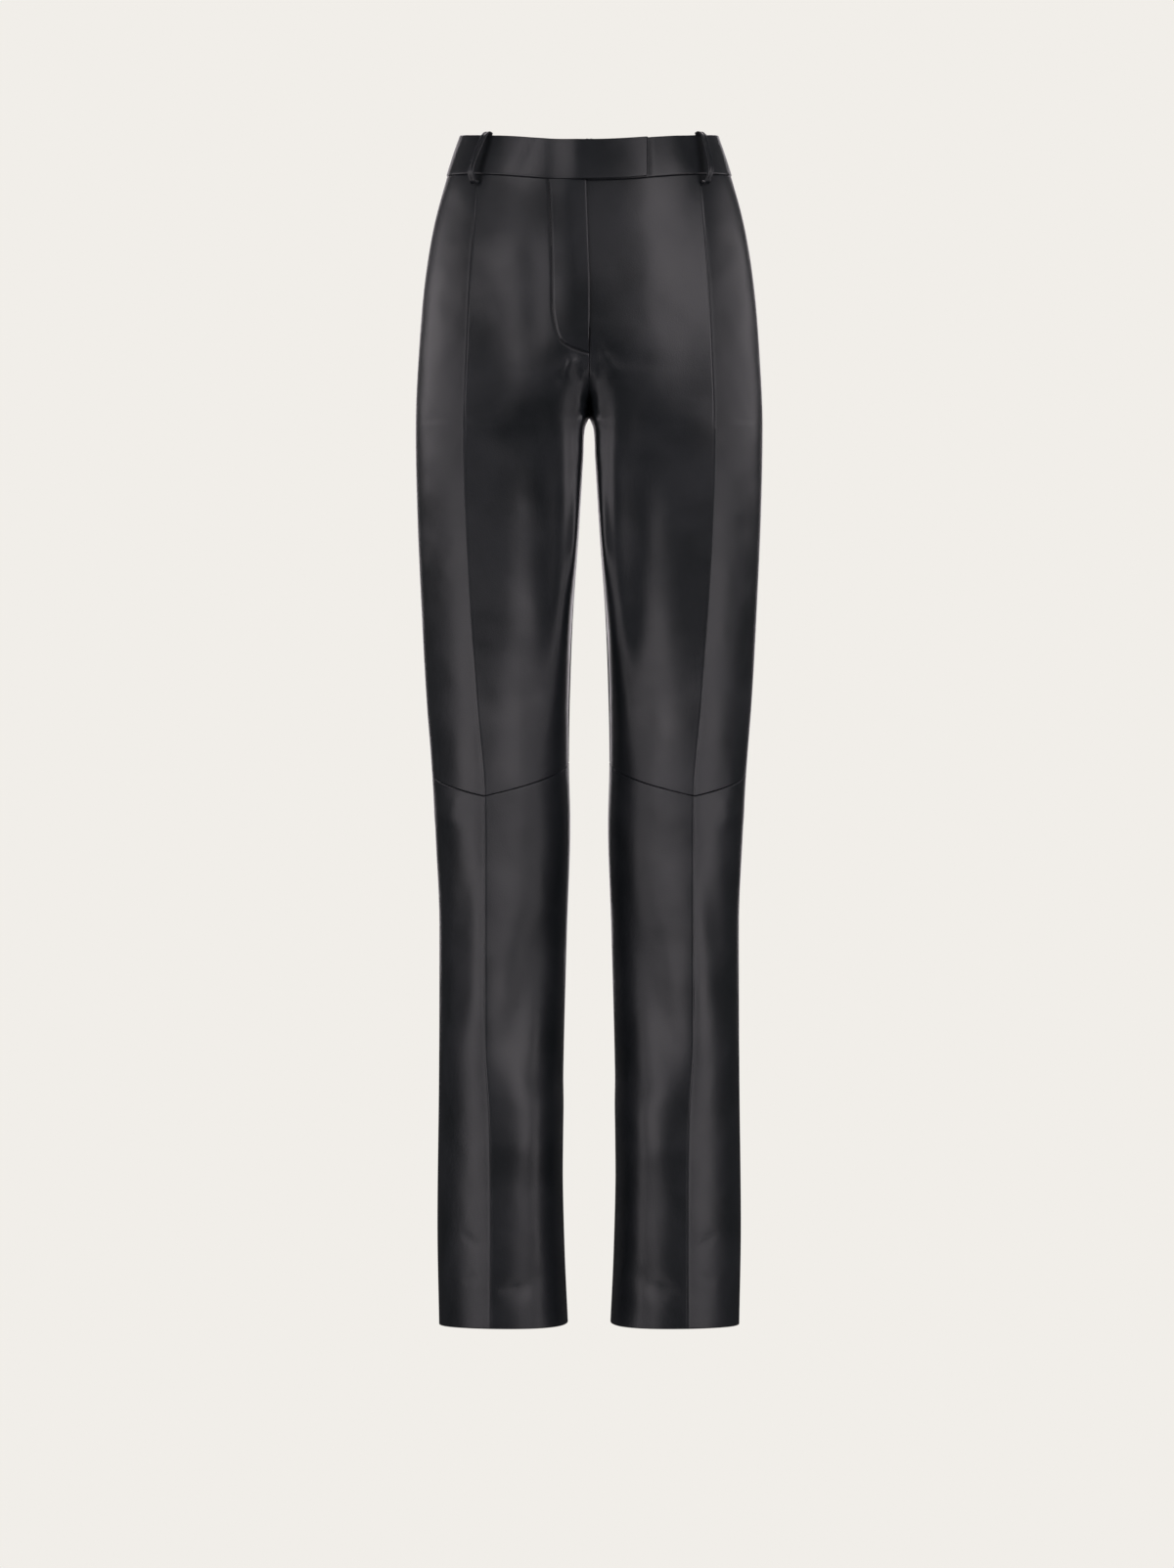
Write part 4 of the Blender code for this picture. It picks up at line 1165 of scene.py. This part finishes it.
def loop_outline():
    """The strip's cross-section, across and out: rounded edges, and a fine line down the outer face."""
    half, radius = LOOP_WIDTH / 2, LOOP_WALL / 2
    depth, width = LOOP_LINE
    face = np.linspace(half - radius, radius - half, LOOP_FACE_POINTS)
    turns = np.radians(np.linspace(90, 270, 2 * LOOP_CORNER_STEPS + 1)[1:-1])
    outer = np.stack([face, radius - depth * bump_across(face, width)], axis=1)
    left = np.stack([radius - half + radius * np.cos(turns), radius * np.sin(turns)], axis=1)
    inner = np.stack([face[::-2], np.full(len(face[::-2]), -radius)], axis=1)
    return np.vstack([outer, left, inner, -left])


def loop_middle(side, front, share_at_top, share_at_seam):
    """The strip's middle line, in the upright plane that faces out at its place, and the way across it."""

    def surface(at):
        share = np.interp(at, (WAIST_SEAM, WAIST_TOP), (share_at_seam, share_at_top))
        shares = np.clip(share + np.array([-LOOP_SPAN, 0.0, LOOP_SPAN]), 0.0, 1.0)
        points = half_sections(front, np.array([at]), shares)[0]
        return points[1] * [side, 1, 1], (points[2] - points[0]) * [side, 1, 0]

    base, run = surface((WAIST_TOP + WAIST_SEAM) / 2)
    out = np.array([run[1], -run[0], 0.0])
    out *= np.sign(out @ base) / np.linalg.norm(out)
    run = np.array([-out[1], out[0], 0.0])
    levels, slides = {}, []
    for level, at, outset in LOOP_LEVELS[1:]:
        point, _ = surface(at)
        levels[level] = ((point - base) @ out + outset, point[2])
        slides.append((point[2], (point - base) @ run))
    knots = [(levels[level][0] + away, levels[level][1] + up) for level, away, up in LOOP_PATH[1:]]
    path = spline(np.array(knots), LOOP_STEPS)
    slide_z, slide = zip(*sorted(slides))
    middle = base + np.outer(path[:, 0], out) + np.outer(np.interp(path[:, 1], slide_z, slide), run)
    middle[:, 2] = path[:, 1]
    return middle, run


def loop_mesh(middle, run):
    """A closed strip along its middle line, thicker inwards where its end is folded."""
    out = np.cross(unit(np.gradient(middle, axis=0)), run)
    outline = loop_outline()
    count = len(outline)
    share, extra = LOOP_FOLDED_END
    thicker = extra * soft_step(1 - np.linspace(0.0, 1.0, len(middle)) / share)
    depth = outline[None, :, 1] - np.where(outline[:, 1] < 0, thicker[:, None], 0.0)
    points = middle[:, None] + outline[None, :, :1] * run + depth[..., None] * out[:, None]
    number = np.arange(points.shape[0] * count).reshape(-1, count)
    following = np.roll(number, -1, axis=1)
    faces = np.stack([number[:-1], following[:-1], following[1:], number[1:]], axis=-1).reshape(-1, 4)
    faces = [*faces.tolist(), number[0, ::-1].tolist(), number[-1].tolist()]
    mesh = bpy.data.meshes.new("belt loop")
    mesh.from_pydata((points.reshape(-1, 3) * MM).tolist(), [], faces)
    shape = bmesh.new()
    shape.from_mesh(mesh)
    bmesh.ops.recalc_face_normals(shape, faces=shape.faces)
    shape.to_mesh(mesh)
    shape.free()
    return mesh


for node, side, front, share_at_top, share_at_seam in BELT_LOOPS[1:]:
    mesh = loop_mesh(*loop_middle(side, front, share_at_top, share_at_seam))
    piece = finished(f"nappa_{node}", mesh, (NAPPA_OUTSIDE,), node)
    mesh.set_sharp_from_angle(angle=math.radians(SHARP_ANGLE))
    width, length, area = LOOP_CUT


# ------------------------------------------------------------
# Fastenings, as the frame has them: a closed zip under the fly with a gunmetal chain on black tape, its
# slider and pull, and a pressed hook and bar behind the tab.
ZIP_X = -11.2
CHAIN_WIDTH = 4.2
TOOTH_PITCH = 2.1
TAPE_RIB = 0.9
ZIP_DEPTH = 0.4
ZIP_ROUGHNESS = (0.85, 0.35)
TAPE_HEX = "161617"
CHAIN_HEX = "6B6A6C"
GUNMETAL_HEX = "5C5B5E"
RUB_MM = 2.0
RUB_DEPTH = 0.1
STEEL_ROUGHNESS = (0.24, 0.46)
# At a scale of 1 the bands of a wave texture are this many metres apart.
WAVE_REPEAT = 0.314


def zip_tape():
    """Woven polyester tape, black and matt with fine ribs, and the plated brass chain along its middle."""
    made, add, on_piece = new_material("woven zip tape with a gunmetal chain")
    parts = add("ShaderNodeSeparateXYZ", links=on_piece)
    chain = add(
        "ShaderNodeMath", {1: ZIP_X * MM, 2: CHAIN_WIDTH / 2 * MM}, [(0, parts, "X")], operation="COMPARE"
    )
    ribs, teeth = (
        add("ShaderNodeTexWave", {"Scale": WAVE_REPEAT / (pitch * MM)}, on_piece, bands_direction=way)
        for way, pitch in (("X", TAPE_RIB), ("Z", TOOTH_PITCH))
    )
    on_chain = [("Factor", chain, "Value")]
    height = add("ShaderNodeMix", links=[("A", ribs, "Fac"), ("B", teeth, "Fac"), *on_chain])
    relief = add(
        "ShaderNodeBump", {"Strength": 0.6, "Distance": ZIP_DEPTH * MM}, [("Height", height, "Result")]
    )
    colour = add(
        "ShaderNodeMix", {COLOUR_A: linear(TAPE_HEX), COLOUR_B: linear(CHAIN_HEX)}, on_chain,
        data_type="RGBA",
    )
    rough, smooth = ZIP_ROUGHNESS
    gloss = add("ShaderNodeMapRange", {"To Min": rough, "To Max": smooth}, [("Value", chain, "Value")])
    shader = add("ShaderNodeBsdfPrincipled", links=[
        ("Base Color", colour, COLOUR_OUT), ("Metallic", chain, "Value"), ("Roughness", gloss, "Result"),
        ("Normal", relief, "Normal"),
    ])
    return surfaced(made, shader)


def gunmetal():
    """Pressed steel with dark nickel plating: a tumbled satin finish, lightly brushed by wear."""
    made, add, on_piece = new_material("dark nickel plated steel")
    rubs = add("ShaderNodeTexNoise", {"Scale": 1 / (RUB_MM * MM), "Detail": 4.0, "Roughness": 0.6}, on_piece)
    smooth, rough = STEEL_ROUGHNESS
    gloss = add("ShaderNodeMapRange", {"To Min": smooth, "To Max": rough}, [("Value", rubs, "Fac")])
    relief = add("ShaderNodeBump", {"Strength": 0.1, "Distance": RUB_DEPTH * MM}, [("Height", rubs, "Fac")])
    shader = add(
        "ShaderNodeBsdfPrincipled", {"Base Color": linear(GUNMETAL_HEX), "Metallic": 1.0},
        [("Roughness", gloss, "Result"), ("Normal", relief, "Normal")],
    )
    return surfaced(made, shader)


GUNMETAL = gunmetal()
finishes = {"fly_zip": zip_tape(), "zip_slider": GUNMETAL, "waist_hook": GUNMETAL, "waist_bar": GUNMETAL}
for node, finish in finishes.items():
    for part_slot in bpy.data.objects[node].material_slots:
        part_slot.material = finish
